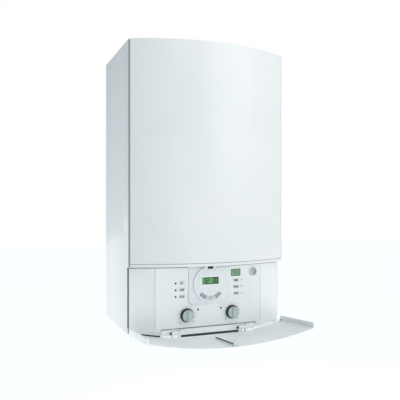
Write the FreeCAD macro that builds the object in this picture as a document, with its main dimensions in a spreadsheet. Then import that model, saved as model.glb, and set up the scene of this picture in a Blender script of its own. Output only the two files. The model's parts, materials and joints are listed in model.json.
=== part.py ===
import FreeCAD, Part
import os
import re

import Sketcher
from FreeCAD import Placement, Rotation, Vector

# Wall-hung condensing boiler, in millimetres and degrees. X runs to the right, Y into
# the wall and Z up. The origin lies on the wall, on the centre line, level with the
# underside of the casing. The flap is drawn open.
sizes = {
    # casing
    "case_width": 440,
    "case_height": 760,
    "case_depth": 304,
    "sheet_gauge": 1.5,
    "wall_gap": 1,
    "frame_set": 14,
    "fold_width": 14,
    "seat_gap": 0.2,
    "fit_gap": 0.05,
    # front cover
    "bow_depth": 56,
    "cover_wall": 2,
    "cover_rim": 6,
    "cover_edge": 1,
    "cover_gap": 6,
    "roof_gap": 1,
    "cover_bottom": 174.5,
    "cover_flange": 18,
    "lip_height": 8.5,
    "lip_set": 3,
    "groove_height": 1.2,
    "groove_deep": 0.8,
    # wall frame
    "rail_gauge": 2,
    "rail_width": 360,
    "rail_height": 45,
    "rail_drop": 15,
    "strap_width": 40,
    "strap_pitch": 300,
    "leaf_level": 10,
    "leaf_depth": 96,
    "lower_rail": 40,
    "hook_out": 9,
    "hook_lip": 8,
    "hanger_width": 280,
    "hanger_out": 10.5,
    "fixing_pitch": 100,
    "fixing_radius": 4,
    # screws
    "screw_radius": 2,
    "screw_head": 4,
    "screw_cap": 2.5,
    "screw_length": 8,
    "screw_inset": 40,
    # control facia
    "notch_set": 15,
    "facia_proud": 2,
    "facia_wall": 3,
    "facia_bottom": 9,
    "skirt_bottom": 2.5,
    "facia_gap": 2.5,
    "facia_side": 5,
    "panel_half": 151.5,
    "cheek_set": 20,
    "facia_return": 14,
    # flap and hinge
    "hinge_out": 5,
    "hinge_level": -3,
    "flap_angle": 85.5,
    "flap_set": 1,
    "flap_bow": 26.5,
    "flap_wall": 3,
    "flap_gap": 2.5,
    "flap_drop": 8,
    "flap_side": 16,
    "shelf_wall": 2.5,
    "shelf_edge": 12.5,
    "rib_start": 42,
    "rib_length": 122,
    "rib_width": 2.6,
    "rib_height": 5,
    "bar_width": 270,
    "bar_top": 6,
    "bar_drop": 9.5,
    "bar_inset": 2,
    "bar_step": 9,
    "lip_wall": 4,
    "lip_drop": 13,
    "knuckle_place": 96,
    "knuckle_width": 11,
    "knuckle_radius": 5,
    "pin_radius": 2,
    "lug_width": 6,
    "lug_gap": 0.5,
    "notch_room": 1,
    "notch_deep": 6,
    # latch
    "catch_width": 30,
    "catch_height": 12,
    "catch_out": 7,
    "catch_rise": 1,
    "slot_width": 16,
    "slot_height": 7.5,
    "slot_depth": 6,
    "tongue_width": 11,
    "tongue_height": 3.5,
    "tongue_reach": 3,
    "strike_height": 12,
    "strike_plate": 2,
    # programmer
    "module_width": 120,
    "module_bottom": 68,
    "module_top": 166,
    "module_corner": 9,
    "module_proud": 2.5,
    "module_gap": 0.4,
    "retain_edge": 2,
    "retain_wall": 2,
    "disc_level": 122,
    "disc_radius": 48,
    "disc_proud": 5,
    "arc_radius": 37.3,
    "arc_band": 9,
    "arc_span": 24,
    "arc_start": 222,
    "arc_gap": 2,
    "key_gap": 0.3,
    "key_proud": 1.2,
    "key_deep": 4,
    "lcd_width": 46.5,
    "lcd_height": 18.5,
    "lcd_level": 131,
    "lcd_deep": 3,
    "lcd_sunk": 0.8,
    # status display, keys and lamps
    "status_width": 28,
    "status_height": 19,
    "status_place": 77,
    "status_level": 149,
    "column_place": 78,
    "column_top": 127.5,
    "column_pitch": 17.8,
    "button_width": 14,
    "button_height": 7,
    "button_proud": 2,
    "button_flange": 1.5,
    "button_lip": 1.2,
    "button_stem": 2,
    "stem_length": 15.5,
    "lamp_radius": 1.6,
    "lamp_place": 96,
    "pilot_place": 33,
    "pilot_level": 54.5,
    # gauge
    "gauge_inset": 22.5,
    "gauge_level": 149.5,
    "gauge_radius": 11.5,
    "gauge_rim": 13,
    "gauge_wall": 1.2,
    "gauge_proud": 2,
    "gauge_deep": 12,
    "dial_deep": 6,
    "spindle_radius": 0.8,
    "spindle_length": 3,
    "needle_length": 8,
    "needle_hub": 1.8,
    "needle_wall": 1,
    "lens_wall": 1.5,
    # knobs
    "knob_place": 65,
    "knob_level": 42,
    "knob_radius": 18.5,
    "knob_height": 13,
    "knob_skirt": 4,
    "knob_taper": 2,
    "knob_air": 0.5,
    "grip_width": 7,
    "grip_rise": 3,
    "shaft_radius": 3,
    "shaft_length": 12,
    "bush_radius": 4.7,
    "bush_body": 9,
    # control box
    "box_inset": 3.5,
    "box_wall": 2.5,
    "box_depth": 41,
    "foot_width": 30,
    "foot_inset": 2,
    "board_wall": 1.6,
    "board_set": 19,
    "board_edge": 6,
    "post_radius": 4,
    "post_inset": 14,
    # heat cell
    "vessel_depth": 60,
    "vessel_inset": 30,
    "vessel_wall": 2,
    "vessel_bottom": 300,
    "vessel_drop": 38.5,
    "cell_drop": 280,
    "cell_radius": 135,
    "cell_wall": 28,
    "cell_front": 34,
    "door_radius": 122,
    "door_wall": 12,
    "burner_radius": 35,
    "burner_wall": 2,
    "burner_air": 46.5,
    "fan_radius": 65,
    "fan_depth": 44,
    "fan_wall": 4,
    "fan_air": 4,
    "fan_shaft": 4,
    "fan_hub": 12,
    "blade_count": 12,
    "blade_wall": 2,
    "inlet_radius": 24,
    "mixer_radius": 28,
    "mixer_depth": 18,
    "mixer_boss": 12,
    "mixer_drop": 44,
    "spout_half": 14,
    "spout_drop": 130,
    "outlet_radius": 34,
    "outlet_rise": 160,
    # flue
    "flue_place": 150,
    "flue_radius": 50.2,
    "flue_wall": 2,
    "flue_rise": 25,
    "flue_flange": 64,
    "flange_wall": 3,
    "duct_radius": 30.1,
    "duct_wall": 1.2,
    "rib_wall": 2,
    # water and gas side
    "tail_place": 70,
    "main_pitch": 130,
    "tap_pitch": 65,
    "main_radius": 11,
    "tap_radius": 7.5,
    "pipe_wall": 1,
    "pipe_bend": 16,
    "pipe_room": 2,
    "block_bottom": 60,
    "block_top": 105,
    "block_half": 25,
    "block_inner": 40,
    "block_outer": 160,
    "plate_half": 100,
    "plate_rise": 70,
    "riser_place": 120,
    "riser_air": 20,
    "riser_set": 146,
    "pump_radius": 45,
    "pump_length": 95,
    "pump_place": 108,
    "pump_level": 120,
    "motor_radius": 20,
    "motor_height": 60,
    "motor_place": 60,
    "relief_radius": 12,
    "relief_length": 40,
    "relief_place": 140,
    "gas_turn": 30,
    "gas_set": 144,
    "gas_half": 40,
    "gas_height": 95,
    "gas_air": 60,
    "feed_air": 12,
    "trap_place": 75,
    "trap_set": 79,
    "trap_radius": 25,
    "trap_height": 140,
    "trap_neck": 10,
    # service valves
    "valve_radius": 16,
    "valve_height": 22,
    "valve_tail": 12,
    "tail_wall": 1.5,
    "boss_radius": 6,
    "boss_reach": 20,
    "lever_wall": 4,
    "lever_hub": 8,
    "lever_arm": 22,
    "lever_width": 9,
    "stud_radius": 2.5,
    "stud_cap": 1,
}

doc = FreeCAD.newDocument("WallBoiler")
sheet = doc.addObject("Spreadsheet::Sheet", "Sizes")
for row, (alias, number) in enumerate(sizes.items(), start=1):
    sheet.set(f"A{row}", alias)
    sheet.set(f"B{row}", str(number))
    sheet.setAlias(f"B{row}", alias)
doc.recompute()

words = re.compile(r"[a-z_]+")
turned = {
    "x": Rotation(Vector(0, 1, 0), 90),
    "y": Rotation(Vector(1, 0, 0), -90),
    "z": Rotation(),
}
nodes = []


# Formulas name the sheet's cells, and every size below is bound to one
def formula(text):
    return words.sub(lambda found: f"Sizes.{found[0]}" if found[0] in sizes else found[0], str(text))


def value(text):
    return float(sheet.evalExpression(formula(text)))


def bind(item, path, text):
    item.setExpression(path, formula(text))


def around(middle, width):
    return f"({middle}) - ({width})/2", f"({middle}) + ({width})/2"


def keep(item):
    nodes.append(item)
    return item


# Plain solids and joins
def block(label, x, y, z):
    item = doc.addObject("Part::Box", label)
    for side, axis, (low, high) in zip(("Length", "Width", "Height"), "xyz", (x, y, z)):
        bind(item, side, f"({high}) - ({low})")
        bind(item, f"Placement.Base.{axis}", low)
    return item


def rod(label, axis, middle, radius, reach):
    item = doc.addObject("Part::Cylinder", label)
    item.Placement = Placement(Vector(), turned[axis])
    bind(item, "Radius", radius)
    bind(item, "Height", f"({reach[1]}) - ({reach[0]})")
    across = [name for name in "xyz" if name != axis]
    for name, place in zip(across, middle):
        bind(item, f"Placement.Base.{name}", place)
    bind(item, f"Placement.Base.{axis}", reach[0])
    return item


def fuse(label, *items):
    item = doc.addObject("Part::MultiFuse", label)
    item.Shapes = list(items)
    item.Refine = True
    return item


def group(label, *items):
    item = doc.addObject("Part::Compound", label)
    item.Links = list(items)
    return item


def cut(label, base, *tools):
    item = doc.addObject("Part::Cut", label)
    item.Base = base
    item.Tool = tools[0] if len(tools) == 1 else fuse(label + "_tools", *tools)
    return item


# Sketched bodies
def sketch(body, name, role, offset="0"):
    item = body.newObject("Sketcher::SketchObject", name)
    plane = next(part for part in body.Origin.OriginFeatures if part.Role == role)
    item.AttachmentSupport = [(plane, "")]
    item.MapMode = "FlatFace"
    bind(item, "AttachmentOffset.Base.z", offset)
    return item


def hold(item, index, end, spot):
    for kind, text in zip(("DistanceX", "DistanceY"), spot):
        link = item.addConstraint(Sketcher.Constraint(kind, -1, 1, index, end, value(text)))
        bind(item, f"Constraints[{link}]", text)


# An outline, closed or open: each corner is held from the origin, and a third
# entry gives the middle of the arc that leads on to the next corner
def outline(item, corners, closed=True):
    spots = [Vector(value(corner[0]), value(corner[1]), 0) for corner in corners]
    runs = corners if closed else corners[:-1]
    ends = []
    for place, corner in enumerate(runs):
        start = spots[place]
        stop = spots[(place + 1) % len(spots)]
        if len(corner) == 2:
            ends.append((item.addGeometry(Part.LineSegment(start, stop)), 1, 2))
            continue
        middle = Vector(value(corner[2][0]), value(corner[2][1]), 0)
        onward = (middle - start).cross(stop - middle).z > 0
        arc = Part.Arc(start, middle, stop) if onward else Part.Arc(stop, middle, start)
        index = item.addGeometry(arc)
        ends.append((index, 1, 2) if onward else (index, 2, 1))
        point = item.addGeometry(Part.Point(middle), True)
        hold(item, point, 1, corner[2])
        item.addConstraint(Sketcher.Constraint("PointOnObject", point, 1, index))
    for place, (index, start, stop) in enumerate(ends):
        hold(item, index, start, corners[place][:2])
        if not closed and place == len(ends) - 1:
            hold(item, index, stop, corners[-1][:2])
            continue
        after = ends[(place + 1) % len(ends)]
        item.addConstraint(Sketcher.Constraint("Coincident", index, stop, after[0], after[1]))
    return item


def rectangle(item, x, y):
    return outline(item, [(x[0], y[0]), (x[1], y[0]), (x[1], y[1]), (x[0], y[1])])


def circle(item, middle, radius):
    spot = Vector(value(middle[0]), value(middle[1]), 0)
    index = item.addGeometry(Part.Circle(spot, Vector(0, 0, 1), value(radius)))
    hold(item, index, 3, middle)
    link = item.addConstraint(Sketcher.Constraint("Radius", index, value(radius)))
    bind(item, f"Constraints[{link}]", radius)
    return item


def pad(body, profile, length):
    item = body.newObject("PartDesign::Pad", profile.Name + "_pad")
    item.Profile = profile
    bind(item, "Length", length)
    return item


def pocket(body, profile, depth):
    item = body.newObject("PartDesign::Pocket", profile.Name + "_cut")
    item.Profile = profile
    bind(item, "Length", depth)
    return item


def turn(body, profile):
    item = body.newObject("PartDesign::Revolution", profile.Name + "_turn")
    item.Profile = profile
    item.ReferenceAxis = (profile, ["V_Axis"])
    item.Angle = 360
    return item


def new_body(label):
    return doc.addObject("PartDesign::Body", label)


# Places that several pieces share
half = "(case_width / 2)"
inner = "(case_width / 2 - sheet_gauge)"
side_front = "-(case_depth - cover_edge - cover_gap)"
notch_front = f"({side_front} + notch_set)"
rear_front = "-(frame_set + sheet_gauge)"
roof = "(case_height - sheet_gauge)"
facia_front = "-(case_depth + facia_proud)"
facia_back = f"({facia_front} + facia_wall)"
facia_end = "-(case_depth - cheek_set)"
facia_top = "(cover_bottom - facia_gap)"
facia_half = "(case_width / 2 - facia_side)"
crease = "panel_half"
hinge_y = "-(case_depth + hinge_out)"
tray_top = "sheet_gauge"
tails = {
    "flow": ("-main_pitch", "main_radius"),
    "hot": ("-tap_pitch", "tap_radius"),
    "gas": ("0", "main_radius"),
    "cold": ("tap_pitch", "tap_radius"),
    "return": ("main_pitch", "main_radius"),
}
tail_y = "-tail_place"
leaf_top = "-leaf_level"
leaf_bottom = "-(leaf_level + rail_gauge)"


# Wall frame: hooked top rail, two straps, and a lower rail with a leaf for the pipes
def wall_frame():
    plate = ("-rail_gauge", "0")
    rail = around("0", "rail_width")
    rail_top = "(case_height - rail_drop)"
    rail_low = f"({rail_top} - rail_height)"
    shelf = f"({rail_low} + rail_height - hook_lip - rail_gauge * 2)"
    pieces = [
        block("frame_rail", rail, plate, (rail_low, f"{shelf} + rail_gauge")),
        block("frame_shelf", rail, ("-hook_out", "0"), (shelf, f"{shelf} + rail_gauge")),
        block("frame_lip", rail, ("-hook_out", "-hook_out + rail_gauge"), (shelf, rail_top)),
        block("frame_lower", rail, plate, (leaf_bottom, "lower_rail")),
        block("frame_leaf", rail, ("-leaf_depth", "0"), (leaf_bottom, leaf_top)),
    ]
    for side in (-1, 1):
        strap = around(f"{side} * strap_pitch / 2", "strap_width")
        pieces.append(block(
            f"frame_strap_{side + 1}",
            strap,
            plate,
            (leaf_bottom, f"{shelf} + rail_gauge"),
        ))
    holes = []
    for place in (-1.5, -0.5, 0.5, 1.5):
        middle = (f"{place} * fixing_pitch", f"{rail_low} + rail_height / 3")
        holes.append(rod(
            f"fixing_{len(holes)}",
            "y",
            middle,
            "fixing_radius",
            ("-rail_gauge * 2", "rail_gauge"),
        ))
    for name, (place, radius) in tails.items():
        reach = (f"{leaf_bottom} - 1", f"{leaf_top} + 1")
        holes.append(rod(f"leaf_hole_{name}", "z", (place, tail_y), f"{radius} + fit_gap", reach))
    keep(cut("wall_frame", fuse("wall_frame_folds", *pieces), *holes))
    return f"({shelf} + rail_gauge)"


# Rear frame: back sheet with a hanger folded over the rail
def rear_frame(shelf_top):
    sheet_y = (rear_front, "-frame_set")
    width = around("0", "case_width - sheet_gauge * 2 - seat_gap * 2")
    hanger = around("0", "hanger_width")
    back = "(hanger_out - frame_set)"
    top = "(case_height - rail_drop + seat_gap + sheet_gauge)"
    keep(
        fuse(
            "rear_frame",
            block("rear_sheet", width, sheet_y, (tray_top, roof)),
            block("hanger_tab", hanger, ("-frame_set", back), (f"{top} - sheet_gauge", top)),
            block("hanger_lip", hanger, (f"{back} - sheet_gauge", back), (shelf_top, top)),
        )
    )


# Side panels: an L fold, stepped back beside the facia
def side_panel(label, sign):
    body = new_body(label)
    profile = sketch(body, f"{label}_fold", "XY_Plane")
    outer = f"{sign} * {half}"
    wall = f"{sign} * {inner}"
    fold = f"{sign} * ({inner} - fold_width)"
    fold_back = rear_front
    fold_front = f"({rear_front} - sheet_gauge)"
    corners = [(outer, "-wall_gap"), (outer, side_front), (wall, side_front), (wall, "-wall_gap")]
    outline(profile, corners)
    pad(body, profile, "case_height")
    tab = sketch(body, f"{label}_tab", "XY_Plane", tray_top)
    outline(tab, [(wall, fold_front), (fold, fold_front), (fold, fold_back), (wall, fold_back)])
    pad(body, tab, f"{roof} - {tray_top}")
    step = sketch(body, f"{label}_step", "XY_Plane", "cover_bottom - flap_gap + 1")
    beyond = f"{side_front} - 1"
    rectangle(step, (f"{sign} * {half} - 3", f"{sign} * {half} + 3"), (beyond, notch_front))
    pocket(body, step, "cover_bottom - flap_gap + 1")
    keep(body)


# Top panel with the flue opening, and bottom tray with the pipe openings
def screw_spots():
    for side in (-1, 1):
        rear = f"{rear_front} - screw_inset"
        front = f"{notch_front} + screw_inset"
        for name, place in (("rear", rear), ("front", front)):
            yield f"{name}_{side + 1}", (f"{side} * ({inner} - fold_width / 2)", place)


def top_panel():
    body = new_body("top_panel")
    profile = sketch(body, "top_sheet", "XY_Plane", roof)
    width = (f"-{inner}", inner)
    rectangle(profile, width, ("-(case_depth - cover_edge - roof_gap)", "-frame_set"))
    pad(body, profile, "sheet_gauge")
    holes = sketch(body, "top_holes", "XY_Plane", "case_height")
    circle(holes, ("0", "-flue_place"), "flue_radius + flue_wall + pipe_room")
    for _, spot in screw_spots():
        circle(holes, spot, "screw_radius + fit_gap")
    pocket(body, holes, "sheet_gauge * 2")
    keep(body)


def bottom_tray():
    body = new_body("bottom_tray")
    profile = sketch(body, "tray_sheet", "XY_Plane")
    rectangle(profile, (f"-{inner}", inner), (notch_front, "-frame_set"))
    pad(body, profile, "sheet_gauge")
    for side in (-1, 1):
        fold = sketch(body, f"tray_fold_{side + 1}", "XY_Plane", "sheet_gauge")
        edge = f"{side} * ({inner} - sheet_gauge / 2)"
        rectangle(fold, around(edge, "sheet_gauge"), (notch_front, f"{rear_front} - sheet_gauge * 2"))
        pad(body, fold, "fold_width")
    holes = sketch(body, "tray_holes", "XY_Plane", "sheet_gauge")
    for place, radius in tails.values():
        circle(holes, (place, tail_y), f"{radius} + pipe_room")
    for _, spot in screw_spots():
        circle(holes, spot, "screw_radius + fit_gap")
    pocket(body, holes, "sheet_gauge * 2")
    keep(body)


def case_screws():
    screws = []
    for name, spot in screw_spots():
        top_head = rod(
            f"roof_head_{name}",
            "z",
            spot,
            "screw_head",
            ("case_height", "case_height + screw_cap"),
        )
        top_shank = rod(
            f"roof_shank_{name}",
            "z",
            spot,
            "screw_radius",
            ("case_height - screw_length", "case_height"),
        )
        low_head = rod(f"tray_head_{name}", "z", spot, "screw_head", ("-screw_cap", "0"))
        low_shank = rod(f"tray_shank_{name}", "z", spot, "screw_radius", ("0", "screw_length"))
        screws.append(fuse(f"roof_screw_{name}", top_head, top_shank))
        screws.append(fuse(f"tray_screw_{name}", low_head, low_shank))
    keep(group("case_screws", *screws))


# Front cover: bowed shell, closed above and below, with a grooved lip and flanges inside
# the side panels
def front_cover():
    body = new_body("front_cover")
    edge_back = "-(case_depth - cover_edge)"
    crown = "-(case_depth + bow_depth)"
    lip_top = "(cover_bottom + lip_height)"

    def bowed(name, level, crown_set):
        profile = sketch(body, name, "XY_Plane", level)
        corners = [
            (f"-{half}", "-case_depth", ("0", f"{crown} + {crown_set}")),
            (half, "-case_depth"),
            (half, edge_back),
            (f"-{half}", edge_back),
        ]
        return outline(profile, corners)

    pad(body, bowed("cover_bow", lip_top, "0"), f"case_height - {lip_top}")
    lip = body.newObject("PartDesign::AdditiveLoft", "cover_lip")
    lip.Profile = bowed("lip_edge", "cover_bottom", "lip_set")
    lip.Sections = [(bowed("lip_crease", lip_top, "0"), [""])]
    lip.Ruled = True
    hollow = sketch(body, "cover_hollow", "XY_Plane", "case_height - cover_wall")
    rim = f"({half} - cover_rim)"
    outline(
        hollow,
        [
            (f"-{rim}", "-case_depth", ("0", f"{crown} + cover_wall")),
            (rim, "-case_depth"),
            (rim, f"{edge_back} + 1"),
            (f"-{rim}", f"{edge_back} + 1"),
        ],
    )
    pocket(body, hollow, "case_height - cover_bottom - cover_wall * 2 - lip_height")
    for side in (-1, 1):
        flange = sketch(body, f"cover_flange_{side + 1}", "XY_Plane", "cover_bottom")
        place = f"{side} * ({inner} - seat_gap - cover_wall / 2)"
        rectangle(flange, around(place, "cover_wall"), (edge_back, f"{edge_back} + cover_flange"))
        pad(body, flange, "case_height - cover_bottom - sheet_gauge - cover_wall")
    groove = sketch(body, "cover_groove", "XY_Plane", f"{lip_top} + groove_height / 2")
    beyond = f"({crown} - groove_deep)"
    outline(
        groove,
        [
            (f"-{half} - groove_deep", "-case_depth"),
            (f"-{half} - groove_deep", beyond),
            (f"{half} + groove_deep", beyond),
            (f"{half} + groove_deep", "-case_depth"),
            (f"{half} - groove_deep", "-case_depth", ("0", f"{crown} + groove_deep")),
            (f"-{half} + groove_deep", "-case_depth"),
        ],
    )
    pocket(body, groove, "groove_height")
    keep(body)


shelf_top = wall_frame()
rear_frame(shelf_top)
side_panel("left_side_panel", -1)
side_panel("right_side_panel", 1)
top_panel()
bottom_tray()
case_screws()
front_cover()


# Control facia and what shows on it
module_front = f"({facia_front} - module_proud)"
disc_front = f"({module_front} - disc_proud)"
catch_top = f"({facia_top} + catch_rise)"
catch_low = f"({catch_top} - catch_height)"
gauge_x = f"({crease} - gauge_inset)"
board_front = f"({facia_back} + board_set)"
rows = [f"column_top - {row} * column_pitch" for row in range(3)]
lamps = [("-lamp_place", row) for row in rows]
lamps += [("-pilot_place", "pilot_level"), ("pilot_place", "pilot_level")]
knobs = {"heating_knob": "-knob_place", "hot_water_knob": "knob_place"}
columns = {"left": "-column_place", "right": "column_place"}


def module_corners(grow):
    side = f"(module_width / 2 + {grow})"
    top = f"(module_top + {grow})"
    low = f"(module_bottom - {grow})"
    slant = "module_corner"
    return [
        (f"-{side}", top),
        (side, top),
        (side, f"{low} + {slant}"),
        (f"{side} - {slant}", low),
        (f"-{side} + {slant}", low),
        (f"-{side}", f"{low} + {slant}"),
    ]


def facia_panel():
    body = new_body("facia_panel")
    profile = sketch(body, "facia_fold", "XY_Plane", "skirt_bottom")
    end_back = f"{facia_end} + facia_return"
    inside = f"({facia_half} - facia_wall)"
    outline(
        profile,
        [
            (f"-{facia_half}", end_back),
            (f"-{facia_half}", facia_end),
            (f"-{crease}", facia_front),
            (crease, facia_front),
            (facia_half, facia_end),
            (facia_half, end_back),
            (inside, end_back),
            (inside, f"{facia_end} + facia_wall"),
            (crease, facia_back),
            (f"-{crease}", facia_back),
            (f"-{inside}", f"{facia_end} + facia_wall"),
            (f"-{inside}", end_back),
        ],
    )
    pad(body, profile, f"{facia_top} - skirt_bottom")
    step = sketch(body, "facia_step", "XY_Plane", "facia_bottom")
    rectangle(step, around("0", "bar_width + notch_room * 4"), (f"{facia_front} - 1", end_back))
    pocket(body, step, "facia_bottom - skirt_bottom")
    holes = sketch(body, "facia_holes", "XZ_Plane", f"-{facia_front}")
    outline(holes, module_corners("module_gap"))
    status_x = around("status_place", "status_width + seat_gap * 2")
    rectangle(holes, status_x, around("status_level", "status_height + seat_gap * 2"))
    for place in columns.values():
        for row in rows:
            rectangle(
                holes,
                around(place, "button_width + key_gap * 2"),
                around(row, "button_height + key_gap * 2"),
            )
    for spot in lamps:
        circle(holes, spot, "lamp_radius + fit_gap")
    circle(holes, (gauge_x, "gauge_level"), "gauge_radius + key_gap")
    for place in knobs.values():
        circle(holes, (place, "knob_level"), "bush_radius + key_gap")
    pocket(body, holes, "facia_wall * 2")
    keep(body)


def control_box():
    reach = f"({crease} - box_inset)"
    back = f"({facia_back} + box_depth)"
    shell = block("box_shell", (f"-{reach}", reach), (facia_back, back), ("facia_bottom", facia_top))
    room = block(
        "box_room",
        (f"-{reach} + box_wall", f"{reach} - box_wall"),
        (f"{facia_back} - 1", f"{back} - box_wall"),
        ("facia_bottom + box_wall", f"{facia_top} - box_wall"),
    )
    feet = []
    for side in (-1, 1):
        foot_x = around(f"{side} * {reach} / 2", "foot_width")
        foot_y = (f"{notch_front} + foot_inset", f"{back} - foot_inset")
        feet.append(block(f"box_foot_{side + 1}", foot_x, foot_y, (tray_top, "facia_bottom")))
    keep(fuse("control_box", cut("box_case", shell, room), *feet))
    edge = f"({reach} - box_wall - board_edge)"
    low = "(facia_bottom + box_wall + board_edge)"
    high = f"({facia_top} - box_wall - board_edge)"
    board_back = f"({board_front} + board_wall)"
    rear = f"({back} - box_wall)"
    pieces = [block("board_sheet", (f"-{edge}", edge), (board_front, board_back), (low, high))]
    for side in (-1, 1):
        for name, level in (("low", f"{low} + post_inset"), ("high", f"{high} - post_inset")):
            spot = (f"{side} * ({edge} - post_inset)", level)
            pieces.append(rod(
                f"board_post_{name}_{side + 1}",
                "y",
                spot,
                "post_radius",
                (board_back, rear),
            ))
        relay = around(f"{side} * {edge} / 2", "knob_radius * 2")
        depth = (board_back, f"{rear} - post_radius")
        pieces.append(block(
            f"board_coil_{side + 1}",
            relay,
            depth,
            around("disc_level", "knob_radius * 2"),
        ))
    keep(fuse("control_board", *pieces))


# A ring sector whose angle runs from the right towards the top
def sector(label, radius, start, span, reach):
    item = rod(label, "y", ("0", "disc_level"), radius, reach)
    bind(item, "Angle", span)
    spin = Rotation(Vector(0, 0, 1), -value(f"{start} + {span}"))
    item.Placement = Placement(item.Placement.Base, turned["y"] * spin)
    return item


def arc_piece(label, start, span, grow, reach):
    outer = sector(f"{label}_outer", f"arc_radius + arc_band / 2 + {grow}", start, span, reach)
    core = rod(f"{label}_core", "y", ("0", "disc_level"), f"arc_radius - arc_band / 2 - {grow}", reach)
    return cut(label, outer, core)


def programmer():
    body = new_body("programmer_plate")
    plate = sketch(body, "programmer_front", "XZ_Plane", f"-{facia_back}")
    outline(plate, module_corners("0"))
    pad(body, plate, f"{facia_back} - {module_front}")
    retain = sketch(body, "programmer_retain", "XZ_Plane", f"-({facia_back} + retain_wall)")
    outline(retain, module_corners("retain_edge"))
    pad(body, retain, "retain_wall")
    disc = rod("programmer_disc", "y", ("0", "disc_level"), "disc_radius", (disc_front, module_front))
    above = block(
        "disc_trim",
        around("0", "disc_radius * 3"),
        (f"{disc_front} - 1", module_front),
        ("module_top", "module_top + disc_radius"),
    )
    latch_room = block(
        "latch_room",
        around("0", "catch_width + module_gap * 2"),
        (f"{disc_front} - 1", f"{facia_back} + retain_wall + 1"),
        (f"{catch_low} - module_gap", f"{catch_top} + module_gap"),
    )
    lcd_x = around("0", "lcd_width")
    lcd_z = around("lcd_level", "lcd_height")
    window = block("lcd_window", lcd_x, (f"{disc_front} - 1", f"{disc_front} + lcd_deep"), lcd_z)
    slot_reach = (f"{disc_front} - 1", f"{disc_front} + key_deep")
    slot = arc_piece("key_slot", "arc_start - arc_gap / 2", "arc_span * 4 + arc_gap", "key_gap", slot_reach)
    trimmed = cut("programmer_face", disc, above)
    keep(cut("programmer_body", fuse("programmer_blank", body, trimmed), latch_room, window, slot))
    keep(block("programmer_lcd", lcd_x, (f"{disc_front} + lcd_sunk", f"{disc_front} + lcd_deep"), lcd_z))
    reach = (f"{disc_front} - key_proud", f"{disc_front} + key_deep - key_proud - key_gap")
    for number in range(4):
        start = f"arc_start + arc_span * {number} + arc_gap / 2"
        keep(arc_piece(f"program_key_{number + 1}", start, "arc_span - arc_gap", "0", reach))


def status_lcd():
    wide = around("status_place", "status_width")
    face = block(
        "status_face",
        wide,
        (f"{facia_front} + lcd_sunk", facia_back),
        around("status_level", "status_height"),
    )
    behind = (facia_back, f"{facia_back} + retain_wall")
    lips = around("status_level", "status_height + retain_edge * 2")
    keep(fuse("status_lcd", face, block("status_retain", wide, behind, lips)))


def button(label, place, level):
    flange_front = f"({facia_back} + key_gap)"
    flange_back = f"({flange_front} + button_flange)"
    wide = around(place, "button_width")
    tall = around(level, "button_height")
    cap = block(f"{label}_cap", wide, (f"{facia_front} - button_proud", flange_front), tall)
    lip_x = around(place, "button_width + button_lip * 2")
    lip_z = around(level, "button_height + button_lip * 2")
    lip = block(f"{label}_lip", lip_x, (flange_front, flange_back), lip_z)
    stem = rod(
        f"{label}_stem",
        "y",
        (place, level),
        "button_stem",
        (flange_back, f"{flange_back} + stem_length"),
    )
    keep(fuse(label, cap, lip, stem))


def indicator_lamps():
    reach = (f"{facia_front} - cover_edge", board_front)
    pieces = [rod(f"lamp_{number}", "y", spot, "lamp_radius", reach) for number, spot in enumerate(lamps)]
    keep(group("indicator_lamps", *pieces))


def pressure_gauge():
    spot = (gauge_x, "gauge_level")
    front = f"({facia_front} - gauge_proud)"
    dial = f"({front} + dial_deep)"
    bore = "(gauge_radius - gauge_wall)"
    rim = rod("gauge_flange", "y", spot, "gauge_rim", (front, facia_front))
    can = rod("gauge_can", "y", spot, "gauge_radius", (facia_front, f"{facia_front} + gauge_deep"))
    room = rod("gauge_room", "y", spot, bore, (f"{front} - 1", dial))
    spindle = rod("gauge_spindle", "y", spot, "spindle_radius", (f"{dial} - spindle_length", f"{dial} + 1"))
    keep(fuse("gauge_case", cut("gauge_cup", fuse("gauge_blank", rim, can), room), spindle))
    keep(rod("gauge_lens", "y", spot, bore, (front, f"{front} + lens_wall")))
    reach = (f"{dial} - key_gap - needle_wall", f"{dial} - key_gap")
    hub = rod("needle_disc", "y", spot, "needle_hub", reach)
    pointer = block(
        "needle_pointer",
        around(gauge_x, "needle_wall"),
        reach,
        ("gauge_level - needle_hub * 1.5", "gauge_level + needle_length"),
    )
    hole = rod("needle_hole", "y", spot, "spindle_radius + fit_gap", (f"{dial} - spindle_length", dial))
    keep(cut("gauge_needle", fuse("needle_blank", hub, pointer), hole))


def knob(label, place):
    body = new_body(label)
    profile = sketch(body, f"{label}_profile", "XZ_Plane")
    waist = "(knob_radius - knob_taper)"
    outline(
        profile,
        [
            ("0", "-shaft_length"),
            ("shaft_radius", "-shaft_length"),
            ("shaft_radius", "0"),
            ("knob_radius", "0"),
            ("knob_radius", "knob_skirt"),
            (waist, "knob_skirt + knob_taper"),
            (f"{waist} - knob_taper / 2", "knob_height"),
            ("0", "knob_height"),
        ],
    )
    turn(body, profile)
    grip = sketch(body, f"{label}_grip", "XY_Plane", "knob_height")
    rectangle(grip, around("0", "grip_width"), around("0", f"({waist} - knob_taper) * 2"))
    pad(body, grip, "grip_rise")
    body.Placement = Placement(Vector(), Rotation(Vector(1, 0, 0), 90))
    bind(body, "Placement.Base.x", place)
    bind(body, "Placement.Base.y", f"{facia_front} - knob_air")
    bind(body, "Placement.Base.z", "knob_level")
    keep(body)


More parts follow.
